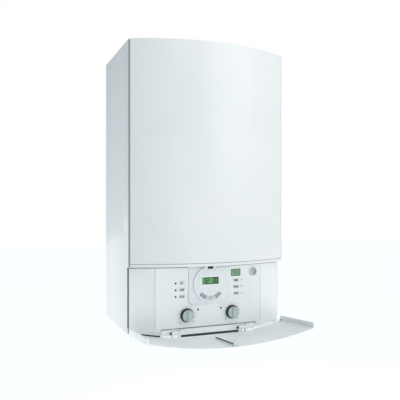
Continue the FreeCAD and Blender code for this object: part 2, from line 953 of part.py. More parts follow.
def knob_bushes():
    bushes = []
    for label, place in knobs.items():
        spot = (place, "knob_level")
        neck = rod(f"{label}_neck", "y", spot, "bush_radius", (facia_front, facia_back))
        can = rod(f"{label}_can", "y", spot, "bush_body", (facia_back, board_front))
        bore = rod(
            f"{label}_bore",
            "y",
            spot,
            "shaft_radius + fit_gap",
            (f"{facia_front} - 1", f"{facia_front} + shaft_length"),
        )
        bushes.append(cut(f"{label}_bush", fuse(f"{label}_blank", neck, can), bore))
    keep(group("knob_bushes", *bushes))


def latch_catch():
    wide = around("0", "catch_width")
    front = f"({facia_front} - catch_out)"
    shell = block("catch_shell", wide, (front, facia_front), (catch_low, catch_top))
    middle = f"({catch_low} + catch_height / 2)"
    slot = block(
        "catch_slot",
        around("0", "slot_width"),
        (f"{front} - 1", f"{front} + slot_depth"),
        around(middle, "slot_height"),
    )
    keep(cut("latch_catch", shell, slot))
    return front, middle


facia_panel()
control_box()
programmer()
status_lcd()
for side, place in columns.items():
    for number, row in enumerate(rows, start=1):
        button(f"{side}_button_{number}", place, row)
indicator_lamps()
pressure_gauge()
for name, place in knobs.items():
    knob(name, place)
knob_bushes()
catch_front, slot_level = latch_catch()


# Hinge bar, pins and flap. The flap is drawn closed and then swung open about the pins.
hinge_spot = (hinge_y, "hinge_level")
flap_end = "-(case_depth - flap_set)"
flap_face = f"({flap_end} - flap_bow + flap_wall)"


def swing_open(item):
    middle = Vector(0, value(hinge_y), value("hinge_level"))
    item.Placement = Placement(Vector(), Rotation(Vector(1, 0, 0), value("flap_angle")), middle)


def hinge_bar():
    long = around("0", "bar_width")
    rail = block("bar_rail", long, (facia_front, notch_front), ("-bar_drop", "bar_top"))
    behind = (f"{notch_front} - lip_wall", notch_front)
    end = f"({facia_half} - bar_inset)"
    whole = (f"-{end}", end)
    lip = block("bar_lip", whole, behind, ("-(bar_drop + lip_drop)", "-bar_drop"))
    ends_y = (f"{facia_front} + bar_step", notch_front)
    ends = block("bar_ends", whole, ends_y, ("-bar_drop", "skirt_bottom - seat_gap"))
    bar = fuse("bar_blank", rail, lip, ends)
    notches = []
    knuckles = []
    pins = []
    bores = []
    notch_back = f"({facia_front} + notch_deep)"
    room = "(knuckle_width + (lug_gap + lug_width + notch_room) * 2)"
    pin_length = "(knuckle_width + (lug_gap + lug_width) * 2)"
    for side in (-1, 1):
        place = f"({side} * knuckle_place)"
        wide = around(place, "knuckle_width")
        notches.append(block(
            f"bar_notch_{side + 1}",
            around(place, room),
            (f"{facia_front} - 1", notch_back),
            ("-bar_drop - 1", "bar_top + 1"),
        ))
        web = around("hinge_level", "knuckle_radius")
        knuckles.append(block(f"knuckle_web_{side + 1}", wide, (hinge_y, notch_back), web))
        knuckles.append(rod(f"knuckle_{side + 1}", "x", hinge_spot, "knuckle_radius", wide))
        bores.append(rod(
            f"knuckle_bore_{side + 1}",
            "x",
            hinge_spot,
            "pin_radius",
            around(place, "knuckle_width * 2"),
        ))
        pins.append(rod(f"hinge_pin_{side + 1}", "x", hinge_spot, "pin_radius", around(place, pin_length)))
    notched = cut("bar_notched", bar, *notches)
    keep(cut("hinge_bar", fuse("bar_knuckles", notched, *knuckles), *bores))
    keep(group("hinge_pins", *pins))


def flap():
    body = new_body("flap_plate")
    shelf = sketch(body, "flap_shelf_line", "XY_Plane", "-flap_drop")
    outline(shelf, [(f"-{half}", flap_end, ("0", f"{flap_end} - flap_bow")), (half, flap_end)])
    pad(body, shelf, "shelf_wall")
    room = sketch(body, "flap_shelf_room", "XY_Plane", "shelf_wall - flap_drop")
    rectangle(room, around("0", "case_width * 2"), (f"{hinge_y} - shelf_edge", f"{flap_end} + 1"))
    pocket(body, room, "shelf_wall")
    profile = sketch(body, "flap_bow_line", "XY_Plane", "-flap_drop")
    inside = f"({half} - flap_wall)"
    outline(
        profile,
        [
            (f"-{half}", flap_end, ("0", f"{flap_end} - flap_bow")),
            (half, flap_end),
            (half, f"{flap_end} + flap_side"),
            (inside, f"{flap_end} + flap_side"),
            (inside, f"{flap_end} + flap_wall", ("0", flap_face)),
            (f"-{inside}", f"{flap_end} + flap_wall"),
            (f"-{inside}", f"{flap_end} + flap_side"),
            (f"-{half}", f"{flap_end} + flap_side"),
        ],
    )
    pad(body, profile, "cover_bottom - flap_gap + flap_drop")
    lugs = []
    bores = []
    offset = "(knuckle_width / 2 + lug_gap + lug_width / 2)"
    for side in (-1, 1):
        for hand in (-1, 1):
            name = f"{side + 1}{hand + 1}"
            place = f"(knuckle_place + {hand} * {offset})"
            wide = around(f"{side} * {place}", "lug_width")
            web = around("hinge_level", "knuckle_radius * 2")
            root = f"{flap_face} + flap_bow * ({place} / {half})^2 - flap_wall / 2"
            lugs.append(block(f"lug_web_{name}", wide, (root, hinge_y), web))
            lugs.append(rod(f"lug_eye_{name}", "x", hinge_spot, "knuckle_radius", wide))
            bores.append(rod(f"lug_bore_{name}", "x", hinge_spot, "pin_radius + fit_gap", wide))
    rib_low = "(hinge_level + rib_start)"
    rib = block(
        "flap_rib",
        around("0", "rib_width"),
        (f"{flap_face} - flap_wall / 2", f"{flap_face} + rib_height"),
        (rib_low, f"{rib_low} + rib_length"),
    )
    panel = cut("flap", fuse("flap_blank", body, rib, *lugs), *bores)
    swing_open(panel)
    keep(panel)
    seat = f"({flap_face} + fit_gap)"
    plate_front = f"({seat} + strike_plate)"
    wide = around("0", "tongue_width")
    base = block(
        "strike_base",
        wide,
        (seat, plate_front),
        around(slot_level, "strike_height - tongue_height"),
    )
    tongue = block(
        "strike_tongue",
        wide,
        (plate_front, f"{catch_front} + tongue_reach"),
        around(slot_level, "tongue_height"),
    )
    strike = fuse("flap_strike", base, tongue)
    swing_open(strike)
    keep(strike)


# Heat cell: vessel, heat exchanger, burner, fan and mixer
cell_level = "(case_height - cell_drop)"
cell_low = f"({cell_level} - cell_radius)"
spout_level = f"({cell_level} - spout_drop)"
outlet_level = f"({cell_level} + outlet_rise)"
vessel_top = f"({roof} - vessel_drop)"
cell_spot = ("0", cell_level)
cell_back = f"({rear_front} - vessel_depth)"
cell_front = "-(case_depth - cell_front)"
burner_back = f"({cell_back} - cell_wall - burner_air)"
door_front = f"({cell_front} - door_wall)"
fan_front = f"({door_front} - fan_depth)"
riser_y = "-(case_depth - riser_set)"
trap_y = "-(case_depth - trap_set)"
gas_y = "-(case_depth - gas_set)"
flow_x = "-riser_place"
return_x = "riser_place"


def spout(label, place, depth):
    wide = around(place, "spout_half * 2")
    return block(label, wide, around(depth, "spout_half * 2"), (spout_level, cell_level))


def heat_cell():
    wide = "(case_width - vessel_inset * 2)"
    depth = (cell_back, rear_front)
    vessel = block("vessel_shell", around("0", wide), depth, ("vessel_bottom", vessel_top))
    vessel_room = block(
        "vessel_room",
        around("0", f"{wide} - vessel_wall * 2"),
        (f"{cell_back} + vessel_wall", f"{rear_front} - vessel_wall"),
        ("vessel_bottom + vessel_wall", f"{vessel_top} - vessel_wall"),
    )
    port_spot = (f"{wide} / 4", f"{rear_front} - vessel_depth / 2")
    through = ("vessel_bottom - 1", "vessel_bottom + vessel_wall * 2")
    port = rod("vessel_port", "z", port_spot, "tap_radius", through)
    keep(cut("expansion_vessel", vessel, vessel_room, port))
    drum = rod("cell_drum", "y", cell_spot, "cell_radius", (cell_front, cell_back))
    hollow = (f"{cell_front} - 1", f"{cell_back} - cell_wall")
    room = rod("cell_room", "y", cell_spot, "cell_radius - cell_wall", hollow)
    outlet = rod("cell_outlet", "z", ("0", "-flue_place"), "outlet_radius", (cell_level, outlet_level))
    spouts = [
        spout("cell_flow", flow_x, riser_y),
        spout("cell_return", return_x, riser_y),
        spout("cell_drain", "-trap_place", trap_y),
    ]
    keep(cut("heat_exchanger", fuse("cell_blank", drum, outlet, *spouts), room))
    keep(rod("burner_door", "y", cell_spot, "door_radius", (door_front, cell_front)))
    tube = rod("burner_tube_blank", "y", cell_spot, "burner_radius", (cell_front, burner_back))
    inside = (cell_front, f"{burner_back} - burner_wall")
    bore = rod("burner_bore", "y", cell_spot, "burner_radius - burner_wall", inside)
    keep(cut("burner_tube", tube, bore))


def fan():
    shell = rod("fan_shell", "y", cell_spot, "fan_radius", (fan_front, door_front))
    depth = (f"{fan_front} + fan_wall", f"{door_front} - fan_wall")
    room = rod("fan_room", "y", cell_spot, "fan_radius - fan_wall", depth)
    mouth = (f"{fan_front} - 1", f"{fan_front} + fan_wall * 2")
    inlet = rod("fan_inlet", "y", cell_spot, "inlet_radius", mouth)
    axle = rod("fan_axle", "y", cell_spot, "fan_shaft", (f"{fan_front} + fan_wall", door_front))
    keep(fuse("fan_housing", cut("fan_case", shell, room, inlet), axle))
    body = new_body("fan_impeller")
    low = f"-({door_front} - fan_wall - fan_air)"
    middle = ("0", "0")
    disc = sketch(body, "impeller_disc", "XZ_Plane", low)
    circle(disc, middle, "fan_radius - fan_wall - fan_air")
    circle(disc, middle, "fan_shaft + fit_gap")
    pad(body, disc, "blade_wall")
    hub = sketch(body, "impeller_hub", "XZ_Plane", f"{low} + blade_wall")
    circle(hub, middle, "fan_hub")
    circle(hub, middle, "fan_shaft + fit_gap")
    blade_length = "fan_depth - (fan_wall + fan_air) * 2 - blade_wall"
    pad(body, hub, blade_length)
    blade = sketch(body, "impeller_blade", "XZ_Plane", f"{low} + blade_wall")
    tip = "(fan_radius - fan_wall - fan_air - 1)"
    rectangle(blade, (f"{tip} - fan_hub", tip), around("0", "blade_wall"))
    first = pad(body, blade, blade_length)
    doc.recompute()
    ring = body.newObject("PartDesign::PolarPattern", "impeller_blades")
    ring.Originals = [first]
    ring.Axis = (disc, ["N_Axis"])
    ring.Angle = 360
    bind(ring, "Occurrences", "blade_count")
    body.Tip = ring
    bind(body, "Placement.Base.z", cell_level)
    keep(body)


hinge_bar()
flap()
heat_cell()
fan()


# Mixer on the fan's inlet, gas valve, flue adaptor and condensate trap
feed_y = f"({fan_front} - mixer_depth / 2)"
boss_level = f"({cell_level} - mixer_drop)"
gas_top = f"({cell_low} - gas_air)"
gas_bottom = f"({gas_top} - gas_height)"
feed_turn = f"({cell_low} - feed_air)"
riser_turn = "(pump_level + pump_radius + main_radius + riser_air)"


def gas_side():
    drum = rod("mixer_drum", "y", cell_spot, "mixer_radius", (f"{fan_front} - mixer_depth", fan_front))
    inside = (f"{fan_front} - mixer_depth + fan_wall", fan_front)
    bore = rod("mixer_bore", "y", cell_spot, "mixer_radius - fan_wall", inside)
    wide = around("0", "(mixer_boss + pipe_room) * 2")
    depth = (f"{fan_front} - mixer_depth", fan_front)
    boss = block("mixer_boss_block", wide, depth, (boss_level, cell_level))
    keep(cut("gas_mixer", fuse("mixer_blank", drum, boss), bore))
    width = around("0", "gas_half * 2")
    keep(block("gas_valve", width, around(gas_y, "gas_half * 2"), (gas_bottom, gas_top)))


def flue_adaptor():
    spot = ("0", "-flue_place")
    mouth = "(case_height + flue_rise)"
    flange_top = "(case_height + flange_wall)"
    outer = "(flue_radius + flue_wall)"
    duct = "(duct_radius + duct_wall)"
    low = f"({roof} - flue_rise)"
    flange = rod("flue_plate", "z", spot, "flue_flange", ("case_height", flange_top))
    socket = rod("flue_socket", "z", spot, outer, (low, mouth))
    room = rod("flue_room", "z", spot, "flue_radius", (f"{low} - 1", f"{mouth} + 1"))
    tube = rod("flue_duct", "z", spot, duct, (outlet_level, mouth))
    bore = rod("flue_bore", "z", spot, "duct_radius", (f"{outlet_level} - 1", f"{mouth} + 1"))
    ribs = []
    for axis in range(2):
        spans = [around("0", "rib_wall"), around("0", "flue_radius * 2 + flue_wall")]
        x, y = spans if axis else reversed(spans)
        y = (f"{y[0]} - flue_place", f"{y[1]} - flue_place")
        ribs.append(block(f"flue_rib_{axis}", x, y, (low, roof)))
    shell = fuse("flue_shell", cut("flue_ring", fuse("flue_outer", flange, socket), room), tube, *ribs)
    keep(cut("flue_adaptor", shell, bore))


def condensate_trap():
    spot = ("-trap_place", trap_y)
    cup = rod("trap_cup", "z", spot, "trap_radius", (tray_top, f"{tray_top} + trap_height"))
    neck = rod("trap_neck_tube", "z", spot, "trap_neck", (f"{tray_top} + trap_height", spout_level))
    keep(fuse("condensate_trap", cup, neck))


# Water side: two blocks joined by the plate exchanger, pump, diverter motor and relief valve
def water_side():
    depth = around(tail_y, "block_half * 2")
    level = ("block_bottom", "block_top")
    front = f"({tail_y} - block_half)"
    left = block("diverter_block", ("-block_outer", "-block_inner"), depth, level)
    motor = rod(
        "diverter_motor",
        "y",
        ("-motor_place", "block_bottom + motor_radius"),
        "motor_radius",
        (f"{front} - motor_height", front),
    )
    keep(fuse("diverter_valve", left, motor))
    right = block("pump_block", ("block_inner", "block_outer"), depth, level)
    can = rod(
        "pump_can",
        "y",
        ("pump_place", "pump_level"),
        "pump_radius",
        (f"{front} - pump_length", front),
    )
    keep(fuse("pump", right, can))
    plates = ("block_top", "block_top + plate_rise")
    keep(block("plate_exchanger", around("0", "plate_half * 2"), depth, plates))
    spot = ("-relief_place", "block_bottom + block_half")
    stem = rod("relief_stem", "y", spot, "relief_radius * 0.6", (f"{front} - relief_length", front))
    cap = rod(
        "relief_cap",
        "y",
        spot,
        "relief_radius",
        (f"{front} - relief_length", f"{front} - relief_length / 2"),
    )
    keep(fuse("relief_valve", stem, cap))


# A tube that rises from a level, steps towards the front and rises again
def tube(label, place, radius, start, rise, stop):
    body = new_body(label)
    path = sketch(body, f"{label}_path", "YZ_Plane", place)
    (y_low, z_low), (y_high, z_high) = start, stop
    corners = [start]
    if rise:
        ease = "pipe_bend * (1 - cos(45 deg))"
        corners += [
            (y_low, f"{rise} - pipe_bend", (f"{y_low} - {ease}", f"{rise} - {ease}")),
            (f"{y_low} - pipe_bend", rise),
            (f"{y_high} + pipe_bend", rise, (f"{y_high} + {ease}", f"{rise} + {ease}")),
            (y_high, f"{rise} + pipe_bend"),
        ]
    corners.append(stop)
    outline(path, corners, closed=False)
    ring = sketch(body, f"{label}_ring", "XY_Plane", z_low)
    circle(ring, (place, y_low), radius)
    circle(ring, (place, y_low), f"{radius} - pipe_wall")
    doc.recompute()
    sweep = body.newObject("PartDesign::AdditivePipe", f"{label}_sweep")
    sweep.Profile = ring
    sweep.Spine = (path, [f"Edge{number}" for number in range(1, len(corners))])
    return body


def pipes():
    tail_bottom = (tail_y, leaf_bottom)
    for name in ("hot", "cold"):
        place, radius = tails[name]
        keep(tube(f"{name}_pipe", place, radius, tail_bottom, None, (tail_y, "block_bottom")))
    for name, riser_x in (("flow", flow_x), ("return", return_x)):
        place, radius = tails[name]
        tail = tube(f"{name}_tail", place, radius, tail_bottom, None, (tail_y, "block_bottom"))
        foot = (tail_y, "block_top")
        riser = tube(f"{name}_riser", riser_x, radius, foot, riser_turn, (riser_y, spout_level))
        keep(group(f"{name}_pipes", tail, riser))
    place, radius = tails["gas"]
    tail = tube("gas_tail", place, radius, tail_bottom, "gas_turn", (gas_y, gas_bottom))
    feed = tube("gas_feed", place, "tap_radius", (gas_y, gas_top), feed_turn, (feed_y, boss_level))
    keep(group("gas_pipes", tail, feed))


# Service valves under the leaf, with quarter-turn levers
boss_front = f"({tail_y} - boss_reach)"
valve_middle = f"({leaf_bottom} - valve_height / 2)"


def service_valves():
    bodies = []
    for name, (place, radius) in tails.items():
        spot = (place, tail_y)
        middle = f"({leaf_bottom} - valve_height)"
        low = f"({middle} - valve_tail)"
        solid = [
            rod(f"{name}_valve_drum", "z", spot, "valve_radius", (middle, leaf_bottom)),
            rod(f"{name}_valve_tail", "z", spot, f"{radius} + tail_wall", (low, middle)),
        ]
        if name != "hot":
            front = (place, valve_middle)
            solid.append(rod(f"{name}_valve_boss", "y", front, "boss_radius", (boss_front, tail_y)))
            stud_front = f"({boss_front} - lever_wall - seat_gap - stud_cap)"
            solid.append(rod(f"{name}_valve_stud", "y", front, "stud_radius", (stud_front, boss_front)))
        bore = rod(
            f"{name}_valve_bore",
            "z",
            spot,
            f"{radius} - pipe_wall",
            (f"{low} - 1", f"{leaf_bottom} + 1"),
        )
        bodies.append(cut(f"{name}_valve", fuse(f"{name}_valve_blank", *solid), bore))
    keep(group("service_valves", *bodies))


def lever(name):
    place = tails[name][0]
    spot = (place, valve_middle)
    back = f"({boss_front} - seat_gap)"
    reach = (f"{back} - lever_wall", back)
    hub = rod(f"{name}_lever_hub", "y", spot, "lever_hub", reach)
    arm = block(
        f"{name}_lever_arm",
        around(place, "lever_width"),
        reach,
        (f"{valve_middle} - lever_arm", valve_middle),
    )
    hole = rod(
        f"{name}_lever_hole",
        "y",
        spot,
        "stud_radius + fit_gap",
        (f"{reach[0]} - 1", f"{reach[1]} + 1"),
    )
    keep(cut(f"{name}_lever", fuse(f"{name}_lever_blank", hub, arm), hole))


gas_side()
flue_adaptor()
condensate_trap()
water_side()
pipes()
service_valves()
for name in ("flow", "gas", "cold", "return"):
    lever(name)


doc.recompute()
for item in doc.Objects:
    if "Invalid" in item.State or "Error" in item.State:
        raise RuntimeError(f"{item.Label} failed: {item.State}")
    pocket_made = item.isDerivedFrom("PartDesign::Pocket")
    if pocket_made and item.Shape.Volume > item.BaseFeature.Shape.Volume - 0.01:
        raise RuntimeError(f"{item.Label} cuts nothing")
for item in nodes:
    if item.Shape.isNull() or not item.Shape.isValid():
        raise RuntimeError(f"{item.Label} has no valid shape")

os.makedirs("parts", exist_ok=True)
for item in nodes:
    item.Shape.exportStep(f"parts/{item.Label}.step")
print(len(nodes), "nodes written")
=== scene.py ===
import bpy
import bmesh
import json
import math
from mathutils import Matrix, Vector


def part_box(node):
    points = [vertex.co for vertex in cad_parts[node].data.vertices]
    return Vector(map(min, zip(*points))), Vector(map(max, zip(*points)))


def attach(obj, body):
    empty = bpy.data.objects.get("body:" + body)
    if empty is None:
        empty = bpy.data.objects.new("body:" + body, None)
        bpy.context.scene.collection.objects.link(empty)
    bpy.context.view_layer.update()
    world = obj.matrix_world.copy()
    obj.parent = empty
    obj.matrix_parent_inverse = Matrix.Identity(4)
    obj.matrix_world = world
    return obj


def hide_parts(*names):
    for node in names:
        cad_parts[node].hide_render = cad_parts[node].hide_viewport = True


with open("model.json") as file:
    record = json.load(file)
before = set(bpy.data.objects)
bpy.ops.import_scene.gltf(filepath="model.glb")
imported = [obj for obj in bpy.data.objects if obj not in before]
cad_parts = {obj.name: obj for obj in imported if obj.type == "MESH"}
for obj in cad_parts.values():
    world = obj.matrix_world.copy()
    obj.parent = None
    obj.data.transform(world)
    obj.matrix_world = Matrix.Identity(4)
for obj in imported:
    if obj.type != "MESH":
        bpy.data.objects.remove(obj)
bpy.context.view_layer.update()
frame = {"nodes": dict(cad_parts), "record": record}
nodes = frame["nodes"]
mm = 0.001
print("frame loaded:", len(nodes), "nodes")


def addToScene(item):
    bpy.context.scene.collection.objects.link(item)


def middleOf(node):
    low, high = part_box(node)
    return (low + high) / 2


# lowest and highest corners of a node in millimetres
def boxOf(node):
    low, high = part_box(node)
    return low / mm, high / mm


# camera at the photograph's angle, in millimetres and degrees
cameraPlan = {
    "place": (-548.6, -1716.3, 335.5),
    "turn": 22.793,
    "lens": 50.44,
    "sensor": 36,
    "shiftX": -0.0616,
    "shiftY": 0.0113,
}


def addCamera(plan):
    data = bpy.data.cameras.new("studioCamera")
    data.lens = plan["lens"]
    data.sensor_width = plan["sensor"]
    data.shift_x = plan["shiftX"]
    data.shift_y = plan["shiftY"]
    camera = bpy.data.objects.new("studioCamera", data)
    camera.location = [value * mm for value in plan["place"]]
    camera.rotation_euler = (math.radians(90), 0, -math.radians(plan["turn"]))
    addToScene(camera)
    bpy.context.scene.camera = camera


addCamera(cameraPlan)


# helpers for node trees and materials
def setInputs(node, values):
    for socket, value in values.items():
        node.inputs[socket].default_value = value
    return node


def addNode(tree, kind, values=None):
    return setInputs(tree.nodes.new(kind), values or {})


def newPaint(name):
    material = bpy.data.materials.new(name)
    material.use_nodes = True
    return material, material.node_tree.nodes["Principled BSDF"]


# colour sockets of a Mix node, by number because their names repeat
mixFirst, mixSecond, mixResult = 6, 7, 2


def addColourMix(tree, first, second):
    mix = tree.nodes.new("ShaderNodeMix")
    mix.data_type = "RGBA"
    return setInputs(mix, {mixFirst: (*first, 1), mixSecond: (*second, 1)})


# studio in metres: white behind the object, a glow from two sides, soft boxes and a pale floor
studioPlan = {
    "leftGlow": (0.196, 0.265, 0.312),
    "rightGlow": (0.79, 0.81, 0.81),
    "boxes": {
        "frontBox": {"place": (1.5, -2.5, 1.2), "aim": (0.05, -0.3, 0.3), "size": 1.8, "power": 9},
        "rearBox": {"place": (-1.05, 0.4, 0.12), "aim": (-0.22, -0.1, 0.12), "size": 0.8, "power": 5.3},
        "fillBox": {"place": (0.2, -2.3, -0.1), "aim": (0, -0.3, -0.05), "size": 1.0, "power": 6.6},
        "topBox": {"place": (0.1, -1.1, 2.0), "aim": (0.05, -0.42, 0), "size": 1.0, "power": 8.2},
    },
    "mirrored": ("frontBox", "topBox"),  # boxes that show in glossy faces
    "floor": {"level": -0.9, "size": 30, "tone": (0.9, 0.9, 0.9), "rough": 0.9, "glow": 0.5},
}


def addSurround(plan):
    world = bpy.data.worlds.new("studioSurround")
    world.use_nodes = True
    tree = world.node_tree
    tree.nodes.clear()
    way = addNode(tree, "ShaderNodeTexCoord")
    split = addNode(tree, "ShaderNodeSeparateXYZ")
    sides = addNode(tree, "ShaderNodeMapRange", {"From Min": -1})
    blend = addColourMix(tree, plan["leftGlow"], plan["rightGlow"])
    glow = addNode(tree, "ShaderNodeBackground")
    seen = addNode(tree, "ShaderNodeBackground", {"Color": (1, 1, 1, 1)})
    path = addNode(tree, "ShaderNodeLightPath")
    choice = addNode(tree, "ShaderNodeMixShader")
    out = addNode(tree, "ShaderNodeOutputWorld")
    link = tree.links.new
    link(way.outputs["Generated"], split.inputs[0])
    link(split.outputs["X"], sides.inputs["Value"])
    link(sides.outputs["Result"], blend.inputs["Factor"])
    link(blend.outputs[mixResult], glow.inputs["Color"])
    link(path.outputs["Is Camera Ray"], choice.inputs[0])
    link(glow.outputs[0], choice.inputs[1])
    link(seen.outputs[0], choice.inputs[2])
    link(choice.outputs[0], out.inputs["Surface"])
    bpy.context.scene.world = world


def addBoxes(plan):
    for name, box in plan["boxes"].items():
        data = bpy.data.lights.new(name, "AREA")
        data.shape = "DISK"
        data.size = box["size"]
        data.energy = box["power"]
        lamp = bpy.data.objects.new(name, data)
        lamp.location = box["place"]
        lamp.visible_glossy = name in plan["mirrored"]
        aim = Vector(box["aim"]) - Vector(box["place"])
        lamp.rotation_euler = aim.to_track_quat("-Z", "Y").to_euler()
        addToScene(lamp)


def addFloor(plan):
    half = plan["size"] / 2
    corners = [(-half, -half), (half, -half), (half, half), (-half, half)]
    mesh = bpy.data.meshes.new("studioFloor")
    mesh.from_pydata([(x, y, plan["level"]) for x, y in corners], [], [(0, 1, 2, 3)])
    floor = bpy.data.objects.new("studioFloor", mesh)
    floorPaint, shader = newPaint("paleFloor")
    setInputs(shader, {
        "Base Color": (*plan["tone"], 1),
        "Roughness": plan["rough"],
        "Emission Color": (1, 1, 1, 1),
        "Emission Strength": plan["glow"],
    })
    mesh.materials.append(floorPaint)
    addToScene(floor)


bpy.context.scene.view_settings.view_transform = "Standard"
addSurround(studioPlan)
addBoxes(studioPlan)
addFloor(studioPlan["floor"])
print("camera and studio set")

# shader groups shared by the finishes
floatSocket, colourSocket = "NodeSocketFloat", "NodeSocketColor"


def newGroup(name, inputs, outputs):
    group = bpy.data.node_groups.new(name, "ShaderNodeTree")
    for label, (kind, value) in inputs.items():
        socket = group.interface.new_socket(label, in_out="INPUT", socket_type=kind)
        socket.default_value = value
    for label, kind in outputs.items():
        group.interface.new_socket(label, in_out="OUTPUT", socket_type=kind)
    return group, group.nodes.new("NodeGroupInput"), group.nodes.new("NodeGroupOutput")


def addGroup(tree, group, values):
    node = tree.nodes.new("ShaderNodeGroup")
    node.node_tree = group
    return setInputs(node, values)


# fine surface texture: a height for bump and a small change of roughness
grainPlan = {
    "scale": 900, "rough": 0.4, "spread": 0.08,
    "fineDetail": 3, "broadScale": 9, "broadDetail": 4, "noiseMiddle": 0.5,
}


def buildGrain(plan):
    inputs = {
        "Scale": (floatSocket, plan["scale"]),
        "Rough": (floatSocket, plan["rough"]),
        "Spread": (floatSocket, plan["spread"]),
    }
    outputs = {"Height": floatSocket, "Roughness": floatSocket}
    group, start, end = newGroup("surfaceGrain", inputs, outputs)
    spot = addNode(group, "ShaderNodeTexCoord")
    fine = addNode(group, "ShaderNodeTexNoise", {"Detail": plan["fineDetail"]})
    broadValues = {"Scale": plan["broadScale"], "Detail": plan["broadDetail"]}
    broad = addNode(group, "ShaderNodeTexNoise", broadValues)
    shift = addNode(group, "ShaderNodeMath")
    shift.operation = "SUBTRACT"
    shift.inputs[1].default_value = plan["noiseMiddle"]
    scaled = addNode(group, "ShaderNodeMath")
    scaled.operation = "MULTIPLY_ADD"
    link = group.links.new
    link(spot.outputs["Object"], fine.inputs["Vector"])
    link(start.outputs["Scale"], fine.inputs["Scale"])
    link(spot.outputs["Object"], broad.inputs["Vector"])
    link(broad.outputs["Fac"], shift.inputs[0])
    link(shift.outputs[0], scaled.inputs[0])
    link(start.outputs["Spread"], scaled.inputs[1])
    link(start.outputs["Rough"], scaled.inputs[2])
    link(fine.outputs["Fac"], end.inputs["Height"])
    link(scaled.outputs[0], end.inputs["Roughness"])
    return group


# slow drift between two tones, with a few finer specks
tonePlan = {"grey": (0.8, 0.8, 0.8), "scale": 6, "detail": 6, "roughness": 0.55, "low": 0.35, "high": 0.68}


def buildTone(plan):
    grey = (*plan["grey"], 1)
    inputs = {
        "Main": (colourSocket, grey),
        "Other": (colourSocket, grey),
        "Scale": (floatSocket, plan["scale"]),
    }
    group, start, end = newGroup("toneDrift", inputs, {"Color": colourSocket})
    spot = addNode(group, "ShaderNodeTexCoord")
    noise = addNode(group, "ShaderNodeTexNoise", {"Detail": plan["detail"], "Roughness": plan["roughness"]})
    ramp = addNode(group, "ShaderNodeMapRange", {"From Min": plan["low"], "From Max": plan["high"]})
    mix = addColourMix(group, plan["grey"], plan["grey"])
    link = group.links.new
    link(spot.outputs["Object"], noise.inputs["Vector"])
    link(start.outputs["Scale"], noise.inputs["Scale"])
    link(noise.outputs["Fac"], ramp.inputs["Value"])
    link(ramp.outputs["Result"], mix.inputs["Factor"])
    link(start.outputs["Main"], mix.inputs[mixFirst])
    link(start.outputs["Other"], mix.inputs[mixSecond])
    link(mix.outputs[mixResult], end.inputs["Color"])
    return group


grainGroup = buildGrain(grainPlan)
toneGroup = buildTone(tonePlan)

